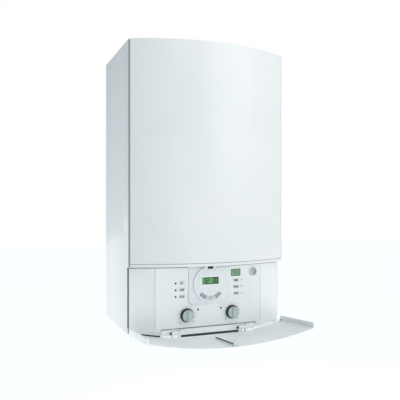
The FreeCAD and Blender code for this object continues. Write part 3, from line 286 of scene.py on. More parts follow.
# one entry for each finish: two tones, roughness, grain size and bump
finishes = {
    "whiteEnamel": {
        "main": (0.752, 0.767, 0.767), "other": (0.728, 0.748, 0.753),
        "rough": 0.30, "grain": 420, "bump": 0.012, "coat": 0.25,
    },
    "mouldedWhite": {
        "main": (0.855, 0.87, 0.87), "other": (0.83, 0.85, 0.85),
        "rough": 0.44, "grain": 1500, "bump": 0.03,
    },
    # lighter than the enamel: painted light on the flap's inner faces, which are up while it is open
    "flapLitWhite": {
        "main": (0.875, 0.90, 0.895), "other": (0.85, 0.875, 0.87),
        "rough": 0.42, "grain": 1500, "bump": 0.03,
    },
    "programmerWhite": {
        "main": (0.80, 0.83, 0.84), "other": (0.78, 0.815, 0.83),
        "rough": 0.26, "grain": 900, "bump": 0.01, "coat": 0.2,
    },
    "keyGrey": {
        "main": (0.38, 0.41, 0.42), "other": (0.34, 0.37, 0.38),
        "rough": 0.55, "grain": 2200, "bump": 0.03,
    },
    "keySilver": {
        "main": (0.62, 0.65, 0.66), "other": (0.58, 0.61, 0.62),
        "rough": 0.45, "grain": 2000, "bump": 0.02,
    },
    "knobGrey": {
        "main": (0.47, 0.56, 0.555), "other": (0.42, 0.51, 0.50),
        "rough": 0.42, "grain": 1800, "bump": 0.03,
    },
    "keyPale": {
        "main": (0.76, 0.785, 0.79), "other": (0.72, 0.75, 0.755),
        "rough": 0.42, "grain": 2000, "bump": 0.02,
    },
    "knobDark": {
        "main": (0.05, 0.06, 0.062), "other": (0.04, 0.047, 0.05),
        "rough": 0.5, "grain": 1800, "bump": 0.04,
    },
    # black moulding, also painted shade in the latch slot and on the hinge pins' heads
    "blackMouldingAndShade": {
        "main": (0.018, 0.019, 0.021), "other": (0.026, 0.027, 0.029),
        "rough": 0.5, "grain": 1600, "bump": 0.04,
    },
    "printInk": {
        "main": (0.13, 0.15, 0.16), "other": (0.11, 0.125, 0.135),
        "rough": 0.6, "grain": 2400, "bump": 0.005,
    },
    "printPale": {
        "main": (0.85, 0.87, 0.88), "other": (0.82, 0.84, 0.85),
        "rough": 0.55, "grain": 2400, "bump": 0.005,
    },
    "printRed": {
        "main": (0.50, 0.05, 0.04), "other": (0.44, 0.04, 0.035),
        "rough": 0.55, "grain": 2400, "bump": 0.005,
    },
    "lampTint": {
        "main": (0.03, 0.045, 0.04), "other": (0.02, 0.03, 0.028),
        "rough": 0.2, "grain": 900, "bump": 0.004, "coat": 0.5,
    },
    "figureInk": {
        "main": (0.012, 0.045, 0.018), "other": (0.02, 0.06, 0.025),
        "rough": 0.3, "grain": 2400, "bump": 0.005,
    },
    "gaugeGrey": {
        "main": (0.76, 0.79, 0.79), "other": (0.71, 0.745, 0.75),
        "rough": 0.38, "grain": 1400, "bump": 0.02,
    },
    "zincSheet": {
        "main": (0.55, 0.57, 0.58), "other": (0.44, 0.46, 0.48),
        "rough": 0.42, "grain": 240, "bump": 0.02, "metal": 0.85, "drift": 24,
    },
    "zincScrew": {
        "main": (0.60, 0.60, 0.58), "other": (0.48, 0.48, 0.47),
        "rough": 0.32, "grain": 1500, "bump": 0.02, "metal": 1.0, "drift": 60,
    },
    "castAlloy": {
        "main": (0.58, 0.59, 0.60), "other": (0.48, 0.49, 0.51),
        "rough": 0.55, "grain": 500, "bump": 0.12, "metal": 0.8, "drift": 20,
    },
    "stainless": {
        "main": (0.62, 0.61, 0.59), "other": (0.54, 0.53, 0.52),
        "rough": 0.3, "grain": 700, "bump": 0.03, "metal": 1.0, "drift": 30,
    },
    "copperTube": {
        "main": (0.72, 0.36, 0.22), "other": (0.52, 0.25, 0.15),
        "rough": 0.34, "grain": 600, "bump": 0.03, "metal": 1.0, "drift": 28,
    },
    "turnedBrass": {
        "main": (0.74, 0.55, 0.24), "other": (0.60, 0.43, 0.18),
        "rough": 0.32, "grain": 900, "bump": 0.03, "metal": 1.0, "drift": 40,
    },
    "leverRed": {
        "main": (0.42, 0.03, 0.025), "other": (0.36, 0.025, 0.02),
        "rough": 0.4, "grain": 1200, "bump": 0.03, "coat": 0.2,
    },
    "leverYellow": {
        "main": (0.75, 0.50, 0.03), "other": (0.66, 0.43, 0.025),
        "rough": 0.4, "grain": 1200, "bump": 0.03, "coat": 0.2,
    },
    "leverBlue": {
        "main": (0.03, 0.08, 0.34), "other": (0.025, 0.065, 0.29),
        "rough": 0.4, "grain": 1200, "bump": 0.03, "coat": 0.2,
    },
    "vesselRed": {
        "main": (0.40, 0.03, 0.025), "other": (0.33, 0.025, 0.02),
        "rough": 0.4, "grain": 300, "bump": 0.03,
    },
    "pumpIron": {
        "main": (0.05, 0.055, 0.06), "other": (0.035, 0.04, 0.044),
        "rough": 0.5, "grain": 500, "bump": 0.1,
    },
    "boardGreen": {
        "main": (0.02, 0.13, 0.05), "other": (0.015, 0.10, 0.04),
        "rough": 0.35, "grain": 1500, "bump": 0.03,
    },
    "flueWhite": {
        "main": (0.78, 0.80, 0.81), "other": (0.72, 0.75, 0.77),
        "rough": 0.4, "grain": 700, "bump": 0.02,
    },
    # lighter than the moulded white: a painted highlight on the hinge rail
    "railLitWhite": {
        "main": (0.93, 0.945, 0.94), "other": (0.905, 0.925, 0.92),
        "rough": 0.4, "grain": 1500, "bump": 0.03,
    },
    "strikeGrey": {
        "main": (0.62, 0.65, 0.65), "other": (0.58, 0.61, 0.61),
        "rough": 0.45, "grain": 1500, "bump": 0.03,
    },
    # dark grey print, also painted shade lines at the cover's seams and lip groove and at the facia's folds
    # and top edge
    "lineGrey": {
        "main": (0.20, 0.23, 0.24), "other": (0.17, 0.20, 0.21),
        "rough": 0.6, "grain": 2400, "bump": 0.005,
    },
    # black rubber, also painted shade in gaps, in seams and on the flap
    "rubberAndShadeBlack": {
        "main": (0.02, 0.02, 0.021), "other": (0.03, 0.03, 0.031),
        "rough": 0.7, "grain": 1600, "bump": 0.05,
    },
}
plainFinish = {"drift": 7, "metal": 0, "coat": 0}  # what a finish has unless it gives its own
bumpPlan = {"gain": 8, "most": 1, "depth": 0.4}


def makeFinish(name, plan):
    material, shader = newPaint(name)
    tree = material.node_tree
    tones = {"Main": (*plan["main"], 1), "Other": (*plan["other"], 1), "Scale": plan["drift"]}
    tone = addGroup(tree, toneGroup, tones)
    grain = addGroup(tree, grainGroup, {"Scale": plan["grain"], "Rough": plan["rough"]})
    strength = min(bumpPlan["most"], plan["bump"] * bumpPlan["gain"])
    bump = addNode(tree, "ShaderNodeBump", {"Strength": strength, "Distance": bumpPlan["depth"] * mm})
    setInputs(shader, {"Metallic": plan["metal"], "Coat Weight": plan["coat"]})
    tree.links.new(tone.outputs["Color"], shader.inputs["Base Color"])
    tree.links.new(grain.outputs["Roughness"], shader.inputs["Roughness"])
    tree.links.new(grain.outputs["Height"], bump.inputs["Height"])
    tree.links.new(bump.outputs["Normal"], shader.inputs["Normal"])
    return material


paint = {name: makeFinish(name, {**plainFinish, **plan}) for name, plan in finishes.items()}

# lit displays: a coloured film, brighter towards its middle
filmPlan = {
    "greenDisplay": {
        "node": "programmer_lcd", "rim": (0.037, 0.175, 0.053), "centre": (0.145, 0.43, 0.145),
        "glow": 0.16, "fade": 30, "rough": 0.12,
    },
    "greyDisplay": {
        "node": "status_lcd", "rim": (0.14, 0.27, 0.17), "centre": (0.26, 0.40, 0.29),
        "glow": 0.12, "fade": 30, "rough": 0.12,
    },
}


def makeFilm(name, plan):
    material, shader = newPaint(name)
    tree = material.node_tree
    spot = addNode(tree, "ShaderNodeTexCoord")
    shift = addNode(tree, "ShaderNodeMapping", {"Location": -middleOf(plan["node"])})
    distance = addNode(tree, "ShaderNodeVectorMath")
    distance.operation = "LENGTH"
    fade = addNode(tree, "ShaderNodeMapRange", {"From Max": plan["fade"] * mm, "To Min": 1, "To Max": 0})
    mix = addColourMix(tree, plan["rim"], plan["centre"])
    setInputs(shader, {"Emission Strength": plan["glow"], "Roughness": plan["rough"]})
    tree.links.new(spot.outputs["Object"], shift.inputs["Vector"])
    tree.links.new(shift.outputs["Vector"], distance.inputs[0])
    tree.links.new(distance.outputs["Value"], fade.inputs["Value"])
    tree.links.new(fade.outputs["Result"], mix.inputs["Factor"])
    tree.links.new(mix.outputs[mixResult], shader.inputs["Base Color"])
    tree.links.new(mix.outputs[mixResult], shader.inputs["Emission Color"])
    return material


for name, plan in filmPlan.items():
    paint[name] = makeFilm(name, plan)

# clear lens of the gauge
lensPlan = {"tint": (0.95, 0.97, 0.98), "rough": 0.04, "spread": 0.03, "bend": 1.2}


def makeLens(name, plan):
    material, shader = newPaint(name)
    tree = material.node_tree
    grain = addGroup(tree, grainGroup, {"Rough": plan["rough"], "Spread": plan["spread"]})
    setInputs(shader, {"Base Color": (*plan["tint"], 1), "Transmission Weight": 1, "IOR": plan["bend"]})
    tree.links.new(grain.outputs["Roughness"], shader.inputs["Roughness"])
    return material


paint["clearLens"] = makeLens("clearLens", lensPlan)
print("finishes made:", len(paint))

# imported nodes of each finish; other pipes are copper and the rest is grey
finishNodes = {
    "zincSheet": ("wall_frame", "rear_frame"),
    "whiteEnamel": ("bottom_tray", "left_side_panel", "right_side_panel", "top_panel", "front_cover"),
    "zincScrew": ("case_screws", "hinge_pins"),
    "mouldedWhite": ("facia_panel", "hinge_bar", "latch_catch", "control_box"),
    "flapLitWhite": ("flap",),
    "programmerWhite": ("programmer_body",),
    "greenDisplay": ("programmer_lcd",),
    "greyDisplay": ("status_lcd",),
    "lampTint": ("indicator_lamps",),
    "gaugeGrey": ("gauge_case",),
    "clearLens": ("gauge_lens",),
    "blackMouldingAndShade": ("knob_bushes", "fan_impeller", "condensate_trap"),
    "strikeGrey": ("flap_strike",),
    "boardGreen": ("control_board",),
    "castAlloy": ("heat_exchanger", "burner_door", "fan_housing", "gas_mixer", "gas_valve"),
    "stainless": ("burner_tube", "plate_exchanger"),
    "vesselRed": ("expansion_vessel",),
    "pumpIron": ("pump",),
    "flueWhite": ("flue_adaptor",),
    "turnedBrass": ("service_valves", "diverter_valve"),
    "leverRed": ("relief_valve", "flow_lever", "return_lever"),
    "leverYellow": ("gas_lever",),
    "leverBlue": ("cold_lever",),
    "knobGrey": ("heating_knob", "hot_water_knob"),
}
nodeFinish = {node: finish for finish, names in finishNodes.items() for node in names}
for name, cad in nodes.items():
    finish = nodeFinish.get(name, "copperTube" if "pipe" in name else "keyGrey")
    cad.data.materials.clear()
    cad.data.materials.append(paint[finish])
print("nodes finished")

# helpers for the pieces; edges steeper than an angle stay sharp or are rounded
edgePlan = {
    "crease": 32, "softCrease": 35, "roundFrom": 40, "flatWithin": 0.6, "merge": 0.02,
    "blockSteps": 2, "softSteps": 3, "profile": 0.5,
}
faceOut = Matrix.Rotation(math.radians(90), 4, "X")  # a form's own Z to the front


def addPiece(name, mesh, body, slot, *replaced):
    piece = bpy.data.objects.new(name, mesh)
    addToScene(piece)
    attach(piece, body)
    if replaced:
        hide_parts(*replaced)
    return piece


def finishMesh(work, name, finishNames):
    bmesh.ops.recalc_face_normals(work, faces=work.faces)
    mesh = bpy.data.meshes.new(name)
    work.to_mesh(mesh)
    work.free()
    for finish in finishNames:
        mesh.materials.append(paint[finish])
    mesh.shade_smooth()
    mesh.set_sharp_from_angle(angle=math.radians(edgePlan["crease"]))
    return mesh


def addMade(name, work, finishNames, body, slot, *replaced):
    return addPiece(name, finishMesh(work, name, finishNames), body, slot, *replaced)


# the mesh that an object has after its modifiers
def plainMesh(holder):
    ready = holder.evaluated_get(bpy.context.evaluated_depsgraph_get())
    return bpy.data.meshes.new_from_object(ready)


# a block between two corners in millimetres, its edges rounded where asked
def addBlock(work, low, high, slot=0, rounded=0):
    made = bmesh.ops.create_cube(work, size=1)["verts"]
    for vert in made:
        share = [value + 0.5 for value in vert.co]
        vert.co = [(a + (b - a) * part) * mm for a, b, part in zip(low, high, share)]
    faces = {face for vert in made for face in vert.link_faces}
    if rounded:
        edges = {edge for vert in made for edge in vert.link_edges}
        bevelled = bmesh.ops.bevel(
            work, geom=list(edges), offset=rounded * mm, affect="EDGES",
            segments=edgePlan["blockSteps"], profile=edgePlan["profile"],
        )
        faces |= set(bevelled["faces"])
    for face in faces:
        if face.is_valid:
            face.material_index = slot


# a loop of corners in millimetres
def addLoop(work, spots):
    return [work.verts.new([value * mm for value in spot]) for spot in spots]


def addCircle(work, radius, height, steps):
    angles = [math.tau * step / steps for step in range(steps)]
    return addLoop(work, [(radius * math.cos(angle), radius * math.sin(angle), height) for angle in angles])


# a band of faces between two loops
def bridge(work, first, second, slot=0):
    for step in range(len(first)):
        after = (step + 1) % len(first)
        work.faces.new((first[step], first[after], second[after], second[step])).material_index = slot


# a closed form through a row of loops
def addForm(work, loops, slot=0):
    for first, second in zip(loops, loops[1:]):
        bridge(work, first, second, slot)
    work.faces.new(loops[0][::-1]).material_index = slot
    work.faces.new(loops[-1]).material_index = slot


# a turned form about its own Z: radius and height pairs in millimetres
def addTurned(work, profile, steps, slot=0):
    addForm(work, [addCircle(work, radius, height, steps) for radius, height in profile], slot)


# a square-edged ring about its own Z, sizes in millimetres
def addRing(work, inner, outer, low, high, steps):
    corners = ((inner, low), (outer, low), (outer, high), (inner, high))
    loops = [addCircle(work, radius, height, steps) for radius, height in corners]
    for first, second in zip(loops, loops[1:] + loops[:1]):
        bridge(work, first, second)


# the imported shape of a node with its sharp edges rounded
def softNode(node, piece, plan, body="casing"):
    mesh = nodes[node].data.copy()
    work = bmesh.new()
    work.from_mesh(mesh)
    bmesh.ops.remove_doubles(work, verts=work.verts, dist=edgePlan["merge"] * mm)
    flat = math.radians(edgePlan["flatWithin"])
    bmesh.ops.dissolve_limit(work, angle_limit=flat, verts=work.verts, edges=work.edges)
    work.to_mesh(mesh)
    work.free()
    holder = bpy.data.objects.new(f"{piece}Blank", mesh)
    addToScene(holder)
    bevel = holder.modifiers.new("roundEdges", "BEVEL")
    bevel.width = plan["round"] * mm
    bevel.segments = edgePlan["softSteps"]
    bevel.limit_method = "ANGLE"
    bevel.angle_limit = math.radians(edgePlan["roundFrom"])
    bevel.use_clamp_overlap = True
    shape = plainMesh(holder)
    bpy.data.objects.remove(holder)
    shape.materials.clear()
    shape.materials.append(paint[plan["finish"]])
    shape.shade_smooth()
    shape.set_sharp_from_angle(angle=math.radians(plan.get("crease", edgePlan["softCrease"])))
    return addPiece(piece, shape, body, plan["slot"], node)


# geometry nodes: one item copied to every point of a mesh, turned by the points' own angles
def buildCopies():
    tree = bpy.data.node_groups.new("itemCopies", "GeometryNodeTree")
    for label, kind in (("Points", "Geometry"), ("Item", "Object"), ("Finish", "Material")):
        tree.interface.new_socket(label, in_out="INPUT", socket_type=f"NodeSocket{kind}")
    tree.interface.new_socket("Geometry", in_out="OUTPUT", socket_type="NodeSocketGeometry")
    start = tree.nodes.new("NodeGroupInput")
    end = tree.nodes.new("NodeGroupOutput")
    turn = tree.nodes.new("GeometryNodeInputNamedAttribute")
    turn.data_type = "FLOAT_VECTOR"
    turn.inputs["Name"].default_value = "turn"
    source = tree.nodes.new("GeometryNodeObjectInfo")
    copies = tree.nodes.new("GeometryNodeInstanceOnPoints")
    real = tree.nodes.new("GeometryNodeRealizeInstances")
    coat = tree.nodes.new("GeometryNodeSetMaterial")
    link = tree.links.new
    link(start.outputs["Points"], copies.inputs["Points"])
    link(start.outputs["Item"], source.inputs["Object"])
    link(source.outputs["Geometry"], copies.inputs["Instance"])
    link(turn.outputs["Attribute"], copies.inputs["Rotation"])
    link(copies.outputs[0], real.inputs[0])
    link(real.outputs[0], coat.inputs["Geometry"])
    link(start.outputs["Finish"], coat.inputs["Material"])
    link(coat.outputs[0], end.inputs["Geometry"])
    return tree


copyTree = buildCopies()


# a plain mesh of an item repeated at places, each a point in millimetres and three angles in degrees
def copyMesh(work, name, finish, places):
    item = bpy.data.objects.new(f"{name}Item", finishMesh(work, f"{name}Item", [finish]))
    points = bpy.data.meshes.new(f"{name}Points")
    points.from_pydata([[value * mm for value in spot] for spot, turn in places], [], [])
    turns = points.attributes.new("turn", "FLOAT_VECTOR", "POINT")
    for entry, (spot, turn) in zip(turns.data, places):
        entry.vector = [math.radians(value) for value in turn]
    holder = bpy.data.objects.new(f"{name}Holder", points)
    addToScene(item)
    addToScene(holder)
    modifier = holder.modifiers.new("copies", "NODES")
    modifier.node_group = copyTree
    values = {"Item": item, "Finish": paint[finish]}
    for socket in copyTree.interface.items_tree:
        if socket.name in values:
            modifier[socket.identifier] = values[socket.name]
    mesh = plainMesh(holder)
    bpy.data.objects.remove(holder)
    bpy.data.objects.remove(item)
    mesh.name = name
    return mesh


# places round a ring in the XY plane, from a start angle in equal steps
def ringPlaces(count, radius, start, step):
    places = []
    for number in range(count):
        angle = start + step * number
        spot = (radius * math.cos(math.radians(angle)), radius * math.sin(math.radians(angle)), 0)
        places.append((spot, (0, 0, angle)))
    return places


# places that share one direction
def plainPlaces(spots, turn=(0, 0, 0)):
    return [(spot, turn) for spot in spots]


def join(work, mesh, slot=0):
    first = len(work.faces)
    work.from_mesh(mesh)
    work.faces.ensure_lookup_table()
    for face in work.faces[first:]:
        face.material_index = slot


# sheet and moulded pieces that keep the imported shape
softPlan = {
    "front_cover": {
        "piece": "coverShell", "round": 1.6, "crease": 9, "finish": "whiteEnamel", "slot": "white_enamel",
    },
    "left_side_panel": {
        "piece": "leftSheet", "round": 0.5, "finish": "whiteEnamel", "slot": "white_enamel",
    },
    "right_side_panel": {
        "piece": "rightSheet", "round": 0.5, "finish": "whiteEnamel", "slot": "white_enamel",
    },
    "facia_panel": {
        "piece": "faciaShell", "round": 0.7, "crease": 12, "finish": "mouldedWhite", "slot": "white_plastic",
    },
    "hinge_bar": {"piece": "hingeRail", "round": 0.8, "finish": "railLitWhite", "slot": "white_plastic"},
    "latch_catch": {"piece": "latchBlock", "round": 0.8, "finish": "mouldedWhite", "slot": "white_plastic"},
    "programmer_body": {
        "piece": "programmerShell", "round": 0.8, "finish": "programmerWhite", "slot": "programmer_white",
    },
    "wall_frame": {"piece": "wallBracket", "round": 0.5, "finish": "zincSheet", "slot": "zinc_sheet"},
    "flue_adaptor": {"piece": "flueSocket", "round": 0.5, "finish": "flueWhite", "slot": "flue_alloy"},
    "gauge_case": {"piece": "gaugeRim", "round": 0.7, "finish": "gaugeGrey", "slot": "gauge_grey"},
}
for node, plan in softPlan.items():
    softNode(node, plan["piece"], plan)

# flap: its outer face, lowest while it is open, takes the cover's enamel; the rest is a lighter white,
# painted light on the faces that are up while it is open
flapPlan = {
    "round": 0.9, "finish": "flapLitWhite", "slot": "white_plastic", "outer": "whiteEnamel", "facing": -0.7,
}
flapShell = softNode("flap", "flapShell", flapPlan, "flap")
flapShell.data.materials.append(paint[flapPlan["outer"]])
for face in flapShell.data.polygons:
    if face.normal.z < flapPlan["facing"]:
        face.material_index = 1

# caps of the side keys, and the programmer's arc of keys
capPlan = {"round": 0.9, "finish": "keyPale", "slot": "key_grey"}
arcPlan = {"round": 0.6, "slot": "key_grey"}
arcFinishes = ("keyGrey", "keySilver", "keySilver", "keyGrey")
for side in ("left", "right"):
    for row in (1, 2, 3):
        softNode(f"{side}_button_{row}", f"{side}Cap{row}", capPlan, f"{side}_button_{row}")
for number, finish in enumerate(arcFinishes, 1):
    plan = {**arcPlan, "finish": finish}
    softNode(f"program_key_{number}", f"arcKey{number}", plan, f"program_key_{number}")
print("soft shapes made")

# knobs: dark skirt on a stem, ribbed barrel, grip ridge and pale pointer
knobPlan = {
    "steps": 72,
    "stem": {"radius": 3, "length": 12},
    "skirt": [(18.5, 0), (18.5, 2.6), (17.9, 3.6), (16.6, 4)],
    "barrel": [(16.6, 3.9), (15.9, 4.2), (15.7, 11.6), (15.4, 12.1)],
    "face": [(15.4, 12), (15.1, 12.6), (14.2, 13), (0.2, 13)],
    "rib": {"low": (-0.6, -0.55, 4), "high": (0.6, 0.55, 11.8), "rounded": 0.25},
    "ribs": {"count": 40, "radius": 15.8, "start": 0, "step": 9},
    "grip": {"low": (-3.5, -14.4, 11), "high": (3.5, 14.4, 16), "rounded": 1.2},
    "pointer": {"low": (-0.7, 5, 15.6), "high": (0.7, 14, 16), "rounded": 0.1},
    "finishes": ["knobGrey", "knobDark", "printPale"],
}


def addKnob(node, piece, plan):
    grey, dark, pale = range(3)
    stem, steps = plan["stem"], plan["steps"]
    middle = middleOf(node)
    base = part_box(node)[1].y - stem["length"] * mm
    work = bmesh.new()
    stemLine = [(stem["radius"], -stem["length"]), (stem["radius"], 0)]
    addTurned(work, stemLine + plan["skirt"], steps, dark)
    addTurned(work, plan["barrel"], steps, dark)
    addTurned(work, plan["face"], steps, grey)
    rib = bmesh.new()
    addBlock(rib, **plan["rib"])
    join(work, copyMesh(rib, f"{piece}Ribs", "knobDark", ringPlaces(**plan["ribs"])), dark)
    addBlock(work, **plan["grip"], slot=grey)
    addBlock(work, **plan["pointer"], slot=pale)
    work.transform(Matrix.Translation((middle.x, base, middle.z)) @ faceOut)
    addMade(piece, work, plan["finishes"], node, "knob_grey", node)


addKnob("heating_knob", "heatingDial", knobPlan)
addKnob("hot_water_knob", "hotWaterDial", knobPlan)
print("knobs made")

# printed scales round the knobs, marks beside the keys and rims round the lamps
printPlan = {
    "tick": {"low": (-1.6, -0.45, -0.05), "high": (1.6, 0.45, 0.06)},
    "ticks": {"count": 11, "radius": 23.2, "start": -45, "step": 27},
    "dot": [(0.1, -0.05), (1.3, -0.05), (1.3, 0.06), (0.1, 0.06)],
    "dotSteps": 20,
    "dots": {"count": 2, "radius": 27, "start": -45, "step": 270},
    "keyBars": [((6.3, 0.6), (12.3, 1.5)), ((6.3, -1.5), (9.8, -0.6))],  # from the right keys' outer edge
    "rim": {"inner": 1.7, "outer": 2.7, "low": -0.05, "high": 0.08, "steps": 24},
    "lampRadius": 1.6,
    "pilotLevel": 54.5,
    "proud": 0.06,
    "sunk": 0.05,
}


def addPrint(plan):
    ink, dark = range(2)
    surface = boxOf("facia_panel")[0].y
    work = bmesh.new()
    for node in ("heating_knob", "hot_water_knob"):
        middle = middleOf(node)
        place = Matrix.Translation((middle.x, surface * mm, middle.z)) @ faceOut
        tick = bmesh.new()
        addBlock(tick, **plan["tick"])
        dot = bmesh.new()
        addTurned(dot, plan["dot"], plan["dotSteps"])
        ticks = copyMesh(tick, f"{node}Scale", "printInk", ringPlaces(**plan["ticks"]))
        dots = copyMesh(dot, f"{node}Ends", "printInk", ringPlaces(**plan["dots"]))
        for mesh in (ticks, dots):
            mesh.transform(place)
            join(work, mesh, ink)
    front, back = surface - plan["proud"], surface + plan["sunk"]
    rows = [middleOf(f"left_button_{row}").z / mm for row in (1, 2, 3)]
    edge = boxOf("right_button_1")[1].x
    for row in rows:
        for (left, bottom), (right, top) in plan["keyBars"]:
            addBlock(work, (edge + left, front, row + bottom), (edge + right, back, row + top), slot=ink)
    rim = bmesh.new()
    addRing(rim, **plan["rim"])
    low, high = boxOf("indicator_lamps")
    left, right, level = low.x + plan["lampRadius"], high.x - plan["lampRadius"], plan["pilotLevel"]
    lamps = [(left, row, 0) for row in rows] + [(-right, level, 0), (right, level, 0)]
    rims = copyMesh(rim, "lampRims", "knobDark", plainPlaces(lamps))
    rims.transform(Matrix.Translation((0, surface * mm, 0)) @ faceOut)
    join(work, rims, dark)
    addMade("faciaPrint", work, ["printInk", "knobDark"], "casing", "key_grey")


addPrint(printPlan)

# display figures: seven bars each, lit bars by number from the top, clockwise, the middle last
figureBars = {
    "0": (0, 1, 2, 3, 4, 5), "1": (1, 2), "2": (0, 1, 6, 4, 3),
    "3": (0, 1, 6, 2, 3), "4": (5, 6, 1, 2), "5": (0, 5, 6, 2, 3),
}
figurePlan = {"proud": 0.12, "deep": 0.3, "colonShare": 0.55, "frameProud": 0.25, "frameSunk": 0.1}
displayPlan = {
    "programmer": {
        "text": "12:30", "node": "programmer_lcd", "inset": 0,
        "width": 6.4, "height": 13.5, "pitch": 9.3, "bar": 2.2, "frame": 1.3,
    },
    "status": {
        "text": "45", "node": "status_lcd", "inset": 2,
        "width": 5, "height": 10.5, "pitch": 8, "bar": 1.3, "frame": 1.8,
    },
}


def addFigure(work, sign, x, z, front, plan):
    wide, tall, bar = plan["width"] / 2, plan["height"] / 2, plan["bar"] / 2
    spans = [
        ((-wide, tall), (wide, tall)), ((wide, 0), (wide, tall)), ((wide, -tall), (wide, 0)),
        ((-wide, -tall), (wide, -tall)), ((-wide, -tall), (-wide, 0)), ((-wide, 0), (-wide, tall)),
        ((-wide, 0), (wide, 0)),
    ]
    if sign == ":":
        shown = [((0, level), (0, level)) for level in (-tall / 2, tall / 2)]
    else:
        shown = [spans[number] for number in figureBars[sign]]
    for (left, bottom), (right, top) in shown:
        low = (x + left - bar, front, z + bottom - bar)
        addBlock(work, low, (x + right + bar, front + figurePlan["deep"], z + top + bar))


def addDisplay(name, plan):
    low, high = boxOf(plan["node"])
    middle = (low + high) / 2
    work = bmesh.new()
    shares = [figurePlan["colonShare"] if sign == ":" else 1 for sign in plan["text"]]
    run = -sum(shares) * plan["pitch"] / 2
    for sign, share in zip(plan["text"], shares):
        centre = middle.x + run + share * plan["pitch"] / 2
        addFigure(work, sign, centre, middle.z, low.y - figurePlan["proud"], plan)
        run += share * plan["pitch"]
    left, right, edge = low.x, high.x, plan["frame"]
    bottom, top = low.z + plan["inset"], high.z - plan["inset"]
    front, back = low.y - figurePlan["frameProud"], low.y + figurePlan["frameSunk"]
    for corner, other in (
        ((left, bottom), (left + edge, top)), ((right - edge, bottom), (right, top)),
        ((left, bottom), (right, bottom + edge)), ((left, top - edge), (right, top)),
    ):
        addBlock(work, (corner[0], front, corner[1]), (other[0], back, other[1]))
    addMade(f"{name}Figures", work, ["figureInk"], "casing", "green_display")


for name, plan in displayPlan.items():
    addDisplay(name, plan)
print("print and figures made")

# dark signs on the keys: corner pairs in millimetres from the middle of each cap
signPlan = {"proud": 0.1, "sunk": 0.2}
keySigns = {
    "left_button_1": [((-4, -2.9), (0.6, 2.9))],
    "left_button_2": [((-5.5, -2.8), (-0.6, 2.8)), ((0.3, -2.8), (4.9, 2.8))],
    "left_button_3": [((-5.8, -2.9), (-1.2, 2.9)), ((1, -2.9), (5.6, 2.9))],
    "right_button_1": [((-6, -2.8), (5.6, 2.8))],
    "right_button_2": [((-6, -2.8), (-0.6, 2.8)), ((0.6, -2.8), (6, 2.8))],
    "right_button_3": [((-6, -2.8), (-0.8, 2.8)), ((0.8, -2.8), (6, 2.8))],
}


def addSigns(node, signs, plan):
    middle = middleOf(node) / mm
    surface = boxOf(node)[0].y
    front, back = surface - plan["proud"], surface + plan["sunk"]
    work = bmesh.new()
    for (left, bottom), (right, top) in signs:
        corner = (middle.x + left, front, middle.z + bottom)
        addBlock(work, corner, (middle.x + right, back, middle.z + top))
    side, kind, row = node.split("_")
    addMade(f"{side}Sign{row}", work, ["lineGrey"], node, "key_grey")


for node, signs in keySigns.items():
    addSigns(node, signs, signPlan)

# gauge dial: ticks and a red end zone on the face behind the needle
gaugePlan = {
    "tick": {"low": (-1.1, -0.22, 0), "high": (1.1, 0.22, 0.12)},
    "ticks": {"count": 13, "radius": 8.4, "start": -45, "step": 22.5},
    "zone": {"low": (-0.5, -0.75, 0), "high": (0.5, 0.75, 0.1)},
    "zones": {"count": 4, "radius": 6.4, "start": -45, "step": 13},
    "recess": 6,
}


def addGauge(plan):
    black, red = range(2)
    middle = middleOf("gauge_lens")
    face = boxOf("gauge_case")[0].y + plan["recess"]
    tick = bmesh.new()
    addBlock(tick, **plan["tick"])
    zone = bmesh.new()
    addBlock(zone, **plan["zone"])
    work = bmesh.new()
    join(work, copyMesh(tick, "gaugeTicks", "blackMouldingAndShade", ringPlaces(**plan["ticks"])), black)
    join(work, copyMesh(zone, "gaugeZone", "printRed", ringPlaces(**plan["zones"])), red)
    work.transform(Matrix.Translation((middle.x, face * mm, middle.z)) @ faceOut)
    addMade("gaugeMarks", work, ["blackMouldingAndShade", "printRed"], "casing", "gauge_black")


addGauge(gaugePlan)

# painted shade: a black lining inside the latch slot, along the faces of the stated opening: back, floor,
# roof and two ends
slotShadePlan = {"side": 0.15, "rise": 0.05, "mouthGap": 0.1, "backGap": 0.1, "wall": 0.2}
openings = {opening["name"]: opening["box_m"] for opening in frame["record"]["physics"]["openings"]}


def addSlotShade(plan):
    slotLow, slotHigh = [Vector(corner) / mm for corner in openings["latch_slot"]]
    half, wall = slotHigh.x + plan["side"], plan["wall"]
    low, high = slotLow.z - plan["rise"], slotHigh.z + plan["rise"]
    mouth, back = boxOf("latch_catch")[0].y + plan["mouthGap"], slotHigh.y - plan["backGap"]
    work = bmesh.new()
    addBlock(work, (-half, back, low), (half, back + wall, high))
    addBlock(work, (-half, mouth, low), (half, back, low + wall))
    addBlock(work, (-half, mouth, high - wall), (half, back, high))
    addBlock(work, (-half, mouth, low), (wall - half, back, high))
    addBlock(work, (half - wall, mouth, low), (half, back, high))
    addMade("slotLining", work, ["blackMouldingAndShade"], "casing", "black_plastic")


addSlotShade(slotShadePlan)

# the flap's trim is drawn closed and swung open about the hinge
joints = {joint["name"]: joint for joint in frame["record"]["behaviour"]["joints"]}
hinge = Vector(joints["flap_hinge"]["pos_m"])
swing = math.radians(joints["flap_hinge"]["range_deg"][1])
swingOpen = Matrix.Translation(hinge) @ Matrix.Rotation(swing, 4, "X") @ Matrix.Translation(-hinge)


def addFlapTrim(name, work):
    work.transform(swingOpen)
    addMade(name, work, ["rubberAndShadeBlack"], "flap", "black_plastic")


# painted shade: a dark strip along the flap's rib
ribShadePlan = {"low": (-1.7, -323.2, 39.5), "high": (1.7, -321.2, 160.5), "rounded": 0.2}
ribShade = bmesh.new()
addBlock(ribShade, **ribShadePlan)
addFlapTrim("flapInlay", ribShade)
